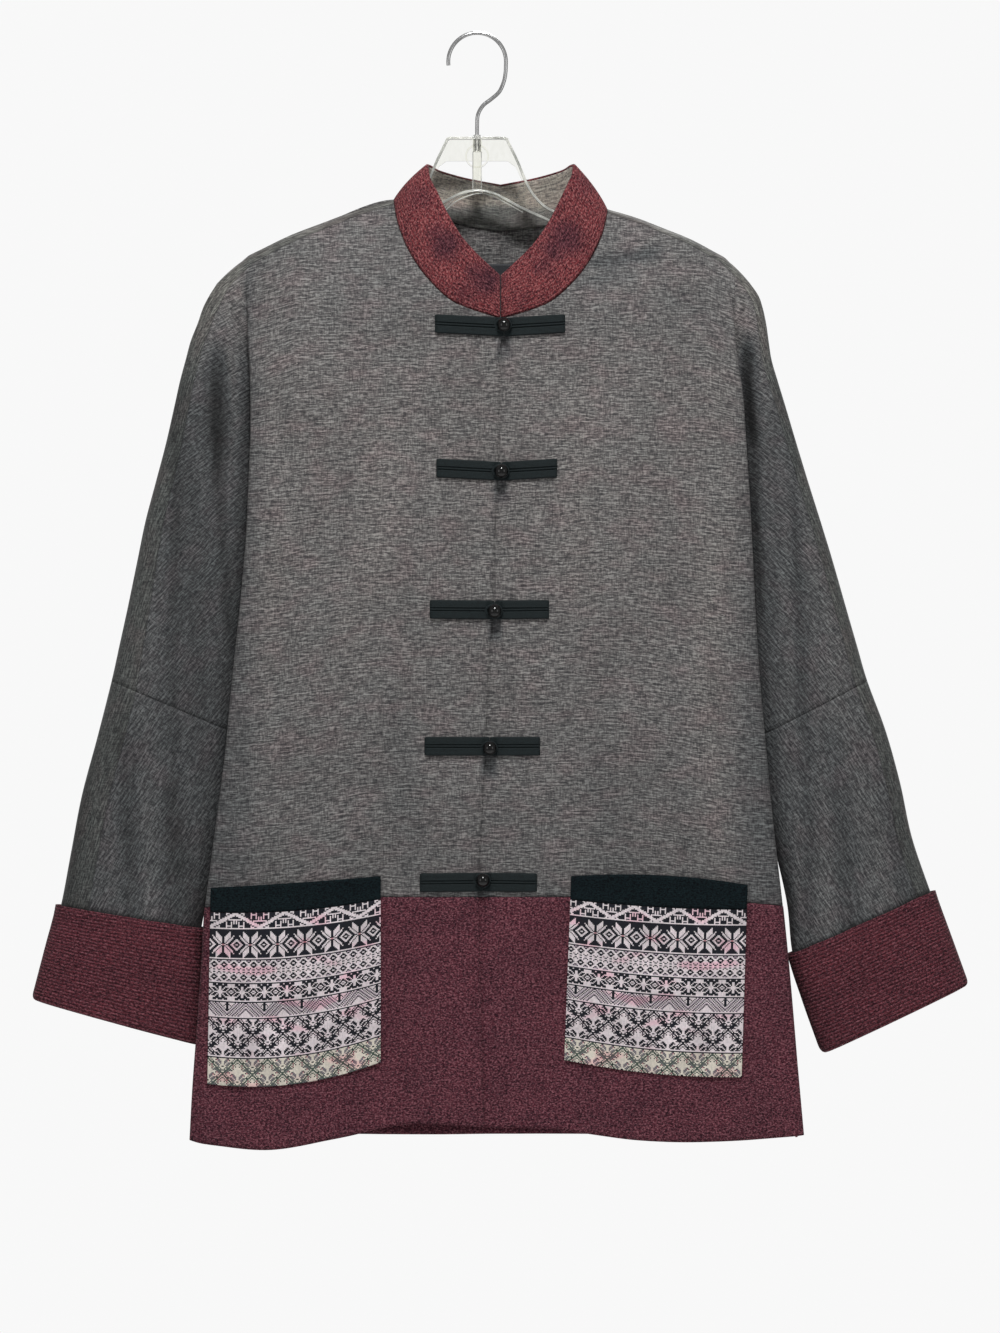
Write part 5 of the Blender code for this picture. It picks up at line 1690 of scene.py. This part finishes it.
def brocade_cells(side, rows, columns):
    """Thread number of every woven point of a pocket."""
    row, column = np.meshgrid(np.arange(rows), np.arange(columns), indexing="ij")
    made = np.full((rows, columns), BLACK)
    start = 0
    for band in BROCADE:
        pitch = band.pitch_right if side == "right" else band.pitch_left
        inside = (row >= start) & (row < start + band.rows)
        cells = motif_cells(band.motif, row - start, column, band.rows, pitch)
        made = np.where(inside, cells, made)
        made = np.where(row == start + band.rows, WHITE, made)
        made = np.where(row == start + band.rows + 1, BLACK, made)
        start += band.rows + 2
    return made


def brocade_colours(side, rows, columns):
    """Colours of the woven points: its threads, with soft worn and pinker patches."""
    colours = THREADS[brocade_cells(side, rows, columns)]
    shade = np.zeros((rows, columns, 3))
    for j in range(rows):
        for i in range(columns):
            tone = noise.noise((i * 0.045, j * 0.06, 2.0))
            warm = smooth((noise.noise((i * 0.04, j * 0.10, 9.0)) - 0.14) * 2.6)
            picks = noise.noise((i * 0.9, j * 0.35, 4.0))
            shade[j, i] = np.array((1.0 + 0.04 * warm, 1.0 - 0.22 * warm, 1.0 - 0.15 * warm)) * (
                1 + 0.22 * tone + 0.22 * picks)
    return np.clip(colours * shade + 0.003, 0.0, 1.0)


def make_pocket(side, trees, material, cell):
    shape = POCKETS[side]
    height, band = pocket_height(shape), band_share(shape)
    part = pocket_outline(side, band + SEAM_GAP / height, 1.0)
    net = laid_surface(trees, part, 14, 12, LAY_GAP + 0.5 * POCKET_WALL)
    columns = round(abs(shape.top_inner[0] - shape.top_outer[0]) * MM / cell)
    rows = round(height * (1 - band) * MM / cell)
    points = fine(net, np.linspace(0, 12, rows + 1), np.linspace(0, 14, columns + 1))
    grid = {"points": points, "weave": strip_weave(points)}
    piece = cloth_piece("brocade_" + side, "pocket_" + side, [grid], material, POCKET_WALL * MM, "brocade")
    colours = brocade_colours(side, rows, columns).reshape(-1, 3)
    layer = piece.data.color_attributes.new("Thread", "FLOAT_COLOR", "CORNER")
    corners = np.array([polygon.loop_total for polygon in piece.data.polygons])
    repeated = np.repeat(np.concatenate([colours, np.ones((len(colours), 1))], 1), corners, 0)
    layer.data.foreach_set("color", repeated.astype(np.float32).ravel())


def make_pocket_band(side, trees, material):
    part = pocket_outline(side, 0.0, band_share(POCKETS[side]))
    net = laid_surface(trees, part, 14, 2, LAY_GAP + 0.5 * BAND_WALL)
    u = np.linspace(0, 1, 61)
    points = fine(net, np.linspace(0, 2, 11), u * 14)
    points[..., 1] -= POCKET_BOW * np.sin(pi * u)[None, :] * np.linspace(1, 0, 11)[:, None]
    grid = {"points": points, "weave": strip_weave(points)}
    cloth_piece("black_band_" + side, "pocket_band_" + side, [grid], material, BAND_WALL * MM, "band")


def make_pockets(trim):
    brocade = brocade_material()
    black = woven_black("Pocket band", tuple(trim.band), 0.0016, 0.35)
    for side in SIDES:
        trees = surface_of(("silk_front_" + side, "burgundy_hem_" + side))
        make_pocket_band(side, trees, black)
        make_pocket(side, trees, brocade, trim.cell)


# Frog closures

# Length of a strap's rounded end, and how far from a ball's middle a strap thins and lies flat
STRAP_END = 2.6
NEAR_BALL = 8.0
UNDER_BALL = 3.5


def strap_profile():
    """Section of a strap: two broad ridges and a fine cord between them, parted by narrow grooves."""
    across = np.linspace(-1, 1, 61)
    edge = np.clip((1 - np.abs(across)) / 0.16, 0, 1)
    up = 0.05 + 0.85 * np.sqrt(1 - (1 - edge) ** 2)
    for place in (-0.14, 0.14):
        up -= 0.62 * np.exp(-((across - place) / 0.045) ** 2)
    up += 0.03 * np.cos(2 * pi * across * 7.0)
    return across, np.maximum(up, 0.05)


def strap_grid(trees, start, end, ball_x):
    """Closed rings along a strap from its rounded outer end; it runs on, pressed flat, under the ball."""
    across, up = strap_profile()
    count = len(across)
    shares = np.linspace(0, 1, 45)
    line = [(blend(start[0], end[0], share), blend(start[1], end[1], share)) for share in shares]
    heights = np.array([foremost(trees, x, z, 4.0, FROG_HALF_HEIGHT) for x, z in line]) - LAY_GAP
    heights = smoothed(heights[None, :])[0]
    length = abs(end[0] - start[0])
    rings = []
    for share, (x, z), y in zip(shares, line, heights):
        from_end = min(share, 1 - share) * length
        rounding = sqrt(max(0.02, 1 - max(0.0, 1 - from_end / STRAP_END) ** 2))
        half = FROG_HALF_HEIGHT * (1 - 0.10 * (1 - rounding))
        lumps = 1 + 0.05 * noise.noise((x * 0.25, z * 0.1, 1.0))
        if abs(x - ball_x) < NEAR_BALL:
            rounding = max(0.1, min(1.0, (abs(x - ball_x) - UNDER_BALL) / UNDER_BALL))
        top = np.stack([np.full(count, x), y - up * FROG_THICK * rounding * lumps, z + across * half], -1)
        floor = np.stack([np.full(21, x), np.full(21, y), z + np.linspace(1, -1, 23)[1:-1] * half], -1)
        rings.append(np.concatenate([top, floor]))
    middle = [np.tile(ring.mean(0), (len(ring), 1)) for ring in (rings[0], rings[-1])]
    return np.array([middle[0]] + rings + [middle[1]])


def make_frogs(fasteners):
    cord = cord_material(fasteners)
    shiny = ball_material(fasteners)
    trees = surface_of(("silk_front_right", "silk_front_left", "burgundy_hem_right", "burgundy_hem_left",
                        "collar_cloth"))
    for number, frog in enumerate(FROGS, 1):
        inner = (frog.ball_x - 0.1, frog.z_mid)
        points = strap_grid(trees, (frog.x_right, frog.z_end), inner, frog.ball_x)
        add_strap("frog_cord_right_%d" % number, "frog_loop_%d" % number, points, cord)
        inner = (frog.ball_x + 0.1, frog.z_mid)
        points = strap_grid(trees, inner, (frog.x_left, frog.z_end), frog.ball_x)
        add_strap("frog_cord_left_%d" % number, "frog_strap_%d" % number, points, cord)
        add_ball(number, cord, shiny)


def add_strap(name, solid, points, cord):
    grid = {"points": points, "weave": ring_weave(points)}
    link(name, cloth_mesh(name, [grid], cord, True), "cord", solid)


# The loop of cord round a ball: its reach to either side, half height, place behind and thickness
LOOP_REACH = (7.4, 5.6)
LOOP_HALF_HEIGHT = 5.3
LOOP_BEHIND = 3.2
LOOP_RADIUS = 1.15


def add_ball(number, cord, shiny):
    """Ball button and the small loop of cord that holds it."""
    solid = "button_%d" % number
    needed(solid)
    low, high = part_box(solid)
    centre = (low + high) / 2
    radius = (high.x - low.x) / 2
    mesh = bpy.data.meshes.new("ball_%d" % number)
    build = bmesh.new()
    bmesh.ops.create_uvsphere(build, u_segments=40, v_segments=24, radius=radius)
    bmesh.ops.translate(build, verts=build.verts, vec=centre)
    build.to_mesh(mesh)
    build.free()
    mesh.shade_smooth()
    mesh.materials.append(shiny)
    link("ball_%d" % number, mesh, "button", solid)
    middle = centre / MM
    loop = []
    for angle in np.linspace(0, 2 * pi, 33)[:-1]:
        wide = LOOP_REACH[0] if cos(angle) < 0 else LOOP_REACH[1]
        loop.append((middle.x + wide * cos(angle), middle.y + LOOP_BEHIND,
                     middle.z + LOOP_HALF_HEIGHT * sin(angle)))
    tube("ball_loop_%d" % number, loop, LOOP_RADIUS, cord, "cord", closed=True)


def tube(name, points, radius, material, slot, closed=False, *solids):
    """Round cord or wire along points in millimetres."""
    curve = bpy.data.curves.new(name, "CURVE")
    curve.dimensions = "3D"
    curve.bevel_depth = radius * MM
    curve.bevel_resolution = 5
    curve.use_fill_caps = True
    spline = curve.splines.new("POLY")
    spline.points.add(len(points) - 1)
    for point, place in zip(spline.points, points):
        point.co = (*(Vector(place) * MM), 1)
    spline.use_cyclic_u = closed
    spline.use_smooth = True
    curve.materials.append(material)
    return link(name, curve, slot, *solids)


# Label

def make_label():
    trees = surface_of(("silk_back",))
    rows = []
    for z in np.linspace(LABEL_TOP_Z, LABEL_LOW_Z, 9):
        line = []
        for x in CENTRE_X + LABEL_WIDTH * np.linspace(-0.5, 0.5, 9):
            y = first_hit(trees, x, z, 0.0)
            line.append((x, y - LAY_GAP - 0.5 * LABEL_WALL, z))
        rows.append(line)
    net = np.array(rows)
    net[..., 1] = smoothed(smoothed(net[..., 1]))
    points = fine(net, np.linspace(0, 8, 25), np.linspace(0, 8, 25))
    grid = {"points": points, "weave": strip_weave(points)}
    cloth_piece("plain_label", "neck_label", [grid], label_material(), LABEL_WALL * MM, "label")


# Hanger

def arm_top(x):
    """Top edge of the arm, straight from the hub's foot to its end."""
    return blend(ARM_TOP_Z, HANGER_END_TOP_Z, (x - 75) / (HANGER_HALF_SPAN - 75))


def hanger_outline():
    """The hanger's outline, all round from the top centre."""
    shoulder = [
        (HUB_HALF_WIDTH - 5, HUB_TOP_Z), (HUB_HALF_WIDTH - 1.5, HUB_TOP_Z - 1.5),
        (HUB_HALF_WIDTH, HUB_TOP_Z - 5), (35.7, -108), (43.5, -127), (50.5, -138), (60, -147),
        (75, ARM_TOP_Z)]
    arm = [(x, arm_top(x)) for x in (100, 130, 160, 190, 205)]
    end = [
        (HANGER_HALF_SPAN - 2, HANGER_END_TOP_Z - 5), (HANGER_HALF_SPAN, HANGER_END_TOP_Z - 10),
        (HANGER_HALF_SPAN - 2, HANGER_END_TOP_Z - 15),
        (HANGER_HALF_SPAN - 7, HANGER_END_TOP_Z - ARM_HEIGHT + 3)]
    under = [(x, arm_top(x) - ARM_HEIGHT) for x in (180, 140, 100)]
    arch = [(68, -163.5), (38, -149.5), (14, -137), (0, -134.2)]
    half = np.array(shoulder + arm + end + under + arch, float)
    half = along(half, np.linspace(0, len(half) - 1, 5 * len(half) - 4))
    other = half[::-1] * (-1, 1)
    return np.concatenate([half, other[1:]])


def inset(loop, by):
    """A loop moved inward by a distance."""
    tangent = np.roll(loop, -1, 0) - np.roll(loop, 1, 0)
    return loop + unit(np.stack([tangent[:, 1], -tangent[:, 0]], 1)) * by


def add_plate(build, loops, thickness):
    """Flat plate with holes: the first loop is its outline."""
    flat = [[Vector((x, z, 0)) for x, z in loop] for loop in loops]
    spots = [spot for loop in loops for spot in loop]
    sides = [[build.verts.new(Vector((x, y, z)) * MM) for x, z in spots]
             for y in (-0.5 * thickness, 0.5 * thickness)]
    for side in sides:
        for triangle in tessellate_polygon(flat):
            build.faces.new([side[i] for i in triangle])
    start = 0
    for loop in loops:
        count = len(loop)
        for i in range(count):
            a, b = start + i, start + (i + 1) % count
            build.faces.new((sides[0][a], sides[0][b], sides[1][b], sides[1][a]))
        start += count


# The raised ring for a size mark: its middle, and its outer and inner radius
SIZE_RING_Z = -103.7
SIZE_RING = (10.2, 8.8)
# How much thicker than the web are the ring, the upright bar and the arched rib
RING_RISE = 1.6
BAR_RISE = 2.2
RIB_RISE = 2.6
# Half thickness of the moulded beads along rim, rib and bar
RIM_BEAD = 0.55
RIB_BEAD = 0.45
BAR_BEAD = 0.4


def ring_loop(x, z, radius, count=40):
    angles = np.linspace(0, 2 * pi, count + 1)[:-1]
    return np.stack([x + radius * np.cos(angles), z + radius * np.sin(angles)], 1)


def make_hanger(hanger):
    """Clear moulded hanger: thin web, thick rim, hub with a window, bar, arched rib and size ring."""
    plastic = plastic_material(hanger)
    outline = hanger_outline()
    flange = hanger.flange / MM
    web = hanger.web / MM
    window = np.array(
        [(4, -108), (26, -108), (33, -113), (38, -124), (34, -138), (14, -128.5), (4, -126)], float)
    windows = [window, window * (-1, 1)]
    rib = np.array([(-29, -149.5), (-17, -139.5), (0, -133.5), (14, -136), (39, -149.5)], float)
    rib = along(rib, np.linspace(0, 4, 33))
    mesh = bpy.data.meshes.new("clear_hanger")
    build = bmesh.new()
    add_plate(build, [outline, inset(outline, flange)], HANGER_THICK)
    add_plate(build, [inset(outline, flange * 0.7)] + windows, web)
    add_plate(build, [ring_loop(0, SIZE_RING_Z, radius) for radius in SIZE_RING], web + RING_RISE)
    add_plate(build, [np.array([(-4, -88), (4, -88), (4, -136), (-4, -136)], float)], web + BAR_RISE)
    add_plate(build, [np.concatenate([rib, (rib - (0, 2.0))[::-1]])], web + RIB_RISE)
    bmesh.ops.recalc_face_normals(build, faces=build.faces)
    build.to_mesh(mesh)
    build.free()
    mesh.materials.append(plastic)
    piece = link("clear_hanger", mesh, "clear_plastic", "hanger")
    edge = piece.modifiers.new("Rounded edges", "BEVEL")
    edge.width = 0.0009
    edge.segments = 2
    edge.limit_method = "ANGLE"
    bead = bead_material(hanger)
    front = -0.5 * HANGER_THICK
    for number, loop in enumerate((inset(outline, 0.7), inset(outline, flange - 0.5)), 1):
        tube("rim_bead_%d" % number, [(x, front, z) for x, z in loop], RIM_BEAD, bead, "clear_plastic", True)
    for number, lift in enumerate((0.4, -2.4), 1):
        line = [(x, -0.5 * (web + RIB_RISE), z + lift) for x, z in rib]
        tube("rib_bead_%d" % number, line, RIB_BEAD, bead, "clear_plastic")
    for number, x in enumerate((-3.6, 3.6), 1):
        line = [(x, -0.5 * (web + BAR_RISE), z) for z in (-100, -136)]
        tube("bar_bead_%d" % number, line, BAR_BEAD, bead, "clear_plastic")
    socket = [(0, 0, HUB_TOP_Z + 1.6), (0, 0, HUB_TOP_Z - SOCKET_DEPTH)]
    tube("hub_socket", socket, WIRE_RADIUS + 1.5, plastic, "clear_plastic")
    add_hook(hanger)


def add_hook(hanger):
    """Bent wire: round the rail, then back to the hub's middle and down into its socket."""
    centre_z = WIRE_RADIUS - HOOK_RADIUS
    points = []
    for angle in np.linspace(1.04 * pi, 0, 45):
        points.append((HOOK_RADIUS * cos(angle), 0.0, centre_z + HOOK_RADIUS * sin(angle)))
    bend = [
        (HOOK_RADIUS, centre_z), (24.3, -32), (22.8, -40), (19.0, -48.5), (12.5, -54.6), (5.0, -60.5),
        (0.8, -68), (0.0, -76), (0.0, -88), (0.0, HUB_TOP_Z - SOCKET_DEPTH + 0.6)]
    low = along(np.array(bend), np.linspace(0, len(bend) - 1, 6 * len(bend)))[1:]
    points += [(x, 0.0, z) for x, z in low]
    tube("wire_hook", points, WIRE_RADIUS, wire_material(hanger), "wire", False, "hook")


# Studio

# Middle of the picture, at the depth where it has its true size
FRAMED_X = 0.01955
FRAMED_Y = -0.025
FRAMED_Z = -0.53975
LENS = 150.0
LIGHT_TARGET = (0.02, 0.0, -0.5)


def add_light(name, size, power, place):
    data = bpy.data.lights.new(name, "AREA")
    data.shape = "RECTANGLE"
    data.size, data.size_y = size
    data.energy = power
    lamp = new_object(name, data)
    lamp.location = place
    lamp.rotation_euler = (Vector(LIGHT_TARGET) - Vector(place)).to_track_quat("-Z", "Y").to_euler()


def seen_strength(tree, seen, lighting):
    """Brightness of a pale surround, one as seen and one for the light it gives."""
    path = node(tree, "ShaderNodeLightPath")
    direct = maths(tree, "MAXIMUM", path.outputs["Is Camera Ray"], path.outputs["Is Transmission Ray"])
    return maths(tree, "MULTIPLY_ADD", direct, seen - lighting, lighting)


def pale_world(stage):
    world = bpy.data.worlds.new("Pale studio")
    world.use_nodes = True
    tree = world.node_tree
    sky = tree.nodes["Background"]
    sky.inputs["Color"].default_value = (*stage.backdrop, 1)
    join(tree, seen_strength(tree, 1.0, stage.ambient), sky.inputs["Strength"])
    return world


def floor_material(stage):
    """Pale floor under the jacket that turns into the pale surround further out."""
    made, tree, shader = start_material("Pale floor", 1.0, Specular_IOR_Level=0.0)
    place = place_of(tree)
    even = noisy(tree, place, (2.0, 2.0), 2.0, 0.5)
    pale = tuple(stage.backdrop)
    distance = node(tree, "ShaderNodeVectorMath", operation="LENGTH")
    join(tree, place, distance.inputs[0])
    far = spread(tree, distance.outputs["Value"], 0.9, 1.9)
    dim = tuple(0.97 * value for value in pale)
    colour = mixed(tree, even, dim, pale)
    join(tree, mixed(tree, far, colour, (0.0, 0.0, 0.0)), shader.inputs["Base Color"])
    glow = node(tree, "ShaderNodeVectorMath", operation="SCALE")
    join(tree, mixed(tree, far, (0.0, 0.0, 0.0), pale), glow.inputs[0])
    join(tree, seen_strength(tree, 1.0, stage.ambient), glow.inputs["Scale"])
    join(tree, glow.outputs[0], shader.inputs["Emission Color"])
    shader.inputs["Emission Strength"].default_value = 1.0
    return made


def make_stage(stage):
    """Plain pale floor and sky, soft lights and a level camera in front."""
    mesh = bpy.data.meshes.new("Floor")
    reach = 60.0
    corners = [(-reach, -reach), (reach, -reach), (reach, reach), (-reach, reach)]
    mesh.from_pydata([(x, y, 0.0) for x, y in corners], [], [(0, 1, 2, 3)])
    mesh.materials.append(floor_material(stage))
    floor = new_object("Floor", mesh)
    floor.location.z = stage.floor_z
    bpy.context.scene.world = pale_world(stage)
    bpy.context.scene.view_settings.view_transform = "Standard"
    add_light("Key light", (0.6, 0.5), stage.key, (0.05, -1.8, 1.8))
    add_light("Left fill", (1.0, 1.6), stage.fill, (-1.9, -1.9, -0.3))
    add_light("Right fill", (1.0, 1.6), stage.fill, (2.0, -1.9, -0.2))
    add_light("Back light", (1.2, 0.8), 0.6 * stage.key, (0.4, 2.2, 1.6))
    camera = bpy.data.cameras.new("Camera")
    camera.lens = LENS
    seen = new_object("Camera", camera)
    distance = stage.frame_height * camera.lens / camera.sensor_width
    seen.location = (FRAMED_X, FRAMED_Y - distance, FRAMED_Z)
    seen.rotation_euler = (radians(90), 0, 0)
    bpy.context.scene.camera = seen


# Operators

class JACKET_OT_panels(bpy.types.Operator):
    """Builds the fronts, the back and the lower sleeves in striped silk"""
    bl_idname = "jacket.panels"
    bl_label = "Silk panels and sleeves"

    def execute(self, context):
        make_panels(context.scene.jacket_cloth)
        return {"FINISHED"}


class JACKET_OT_cuffs(bpy.types.Operator):
    """Builds the two turned-back burgundy cuffs"""
    bl_idname = "jacket.cuffs"
    bl_label = "Cuffs"

    def execute(self, context):
        make_cuffs(context.scene.jacket_cloth, context.scene.jacket_trim)
        return {"FINISHED"}


class JACKET_OT_hems(bpy.types.Operator):
    """Builds the three parts of the burgundy hem band"""
    bl_idname = "jacket.hems"
    bl_label = "Hem band"

    def execute(self, context):
        make_hems(context.scene.jacket_cloth, context.scene.jacket_trim)
        return {"FINISHED"}


class JACKET_OT_collar(bpy.types.Operator):
    """Builds the stand collar and its facing"""
    bl_idname = "jacket.collar"
    bl_label = "Collar"

    def execute(self, context):
        make_collar(context.scene.jacket_trim)
        return {"FINISHED"}


class JACKET_OT_pockets(bpy.types.Operator):
    """Lays the two brocade pockets with their black bands on the fronts"""
    bl_idname = "jacket.pockets"
    bl_label = "Patch pockets"

    def execute(self, context):
        need_pieces("silk_front_right", "burgundy_hem_right")
        make_pockets(context.scene.jacket_trim)
        return {"FINISHED"}


class JACKET_OT_frogs(bpy.types.Operator):
    """Lays the five frog closures with their ball buttons on the fronts"""
    bl_idname = "jacket.frogs"
    bl_label = "Frog closures"

    def execute(self, context):
        need_pieces("silk_front_right", "collar_cloth")
        make_frogs(context.scene.jacket_fasteners)
        return {"FINISHED"}


class JACKET_OT_label(bpy.types.Operator):
    """Lays the bare neck label on the inside of the back"""
    bl_idname = "jacket.label"
    bl_label = "Neck label"

    def execute(self, context):
        need_pieces("silk_back")
        make_label()
        return {"FINISHED"}


class JACKET_OT_hanger(bpy.types.Operator):
    """Builds the clear hanger and its wire hook"""
    bl_idname = "jacket.hanger"
    bl_label = "Hanger"

    def execute(self, context):
        make_hanger(context.scene.jacket_hanger)
        return {"FINISHED"}


class JACKET_OT_stage(bpy.types.Operator):
    """Adds the floor, the lights and the camera"""
    bl_idname = "jacket.stage"
    bl_label = "Studio"

    def execute(self, context):
        make_stage(context.scene.jacket_stage)
        return {"FINISHED"}


class JACKET_PT_parts(bpy.types.Panel):
    """Lists the parts of the jacket and their settings"""
    bl_idname = "JACKET_PT_parts"
    bl_label = "Silk jacket"
    bl_space_type = "VIEW_3D"
    bl_region_type = "UI"
    bl_category = "Jacket"

    def draw(self, context):
        for kind in OPERATORS:
            self.layout.operator(kind.bl_idname)
        for name in SETTINGS:
            group = getattr(context.scene, name)
            for key in group.bl_rna.properties.keys():
                if key not in ("rna_type", "name"):
                    self.layout.prop(group, key)


OPERATORS = (
    JACKET_OT_panels, JACKET_OT_cuffs, JACKET_OT_hems, JACKET_OT_collar, JACKET_OT_pockets,
    JACKET_OT_frogs, JACKET_OT_label, JACKET_OT_hanger, JACKET_OT_stage)
SETTINGS = {
    "jacket_cloth": JacketClothSettings, "jacket_trim": JacketTrimSettings,
    "jacket_fasteners": JacketFastenerSettings, "jacket_hanger": JacketHangerSettings,
    "jacket_stage": JacketStageSettings}


def register():
    for name, kind in SETTINGS.items():
        bpy.utils.register_class(kind)
        setattr(bpy.types.Scene, name, PointerProperty(type=kind))
    for kind in (*OPERATORS, JACKET_PT_parts):
        bpy.utils.register_class(kind)


def unregister():
    for kind in (JACKET_PT_parts, *reversed(OPERATORS)):
        bpy.utils.unregister_class(kind)
    for name, kind in SETTINGS.items():
        delattr(bpy.types.Scene, name)
        bpy.utils.unregister_class(kind)


def main():
    register()
    bpy.ops.jacket.panels()
    bpy.ops.jacket.cuffs()
    bpy.ops.jacket.hems()
    bpy.ops.jacket.collar()
    bpy.ops.jacket.pockets()
    bpy.ops.jacket.frogs()
    bpy.ops.jacket.label()
    bpy.ops.jacket.hanger()
    bpy.ops.jacket.stage()


if __name__ == "__main__":
    main()
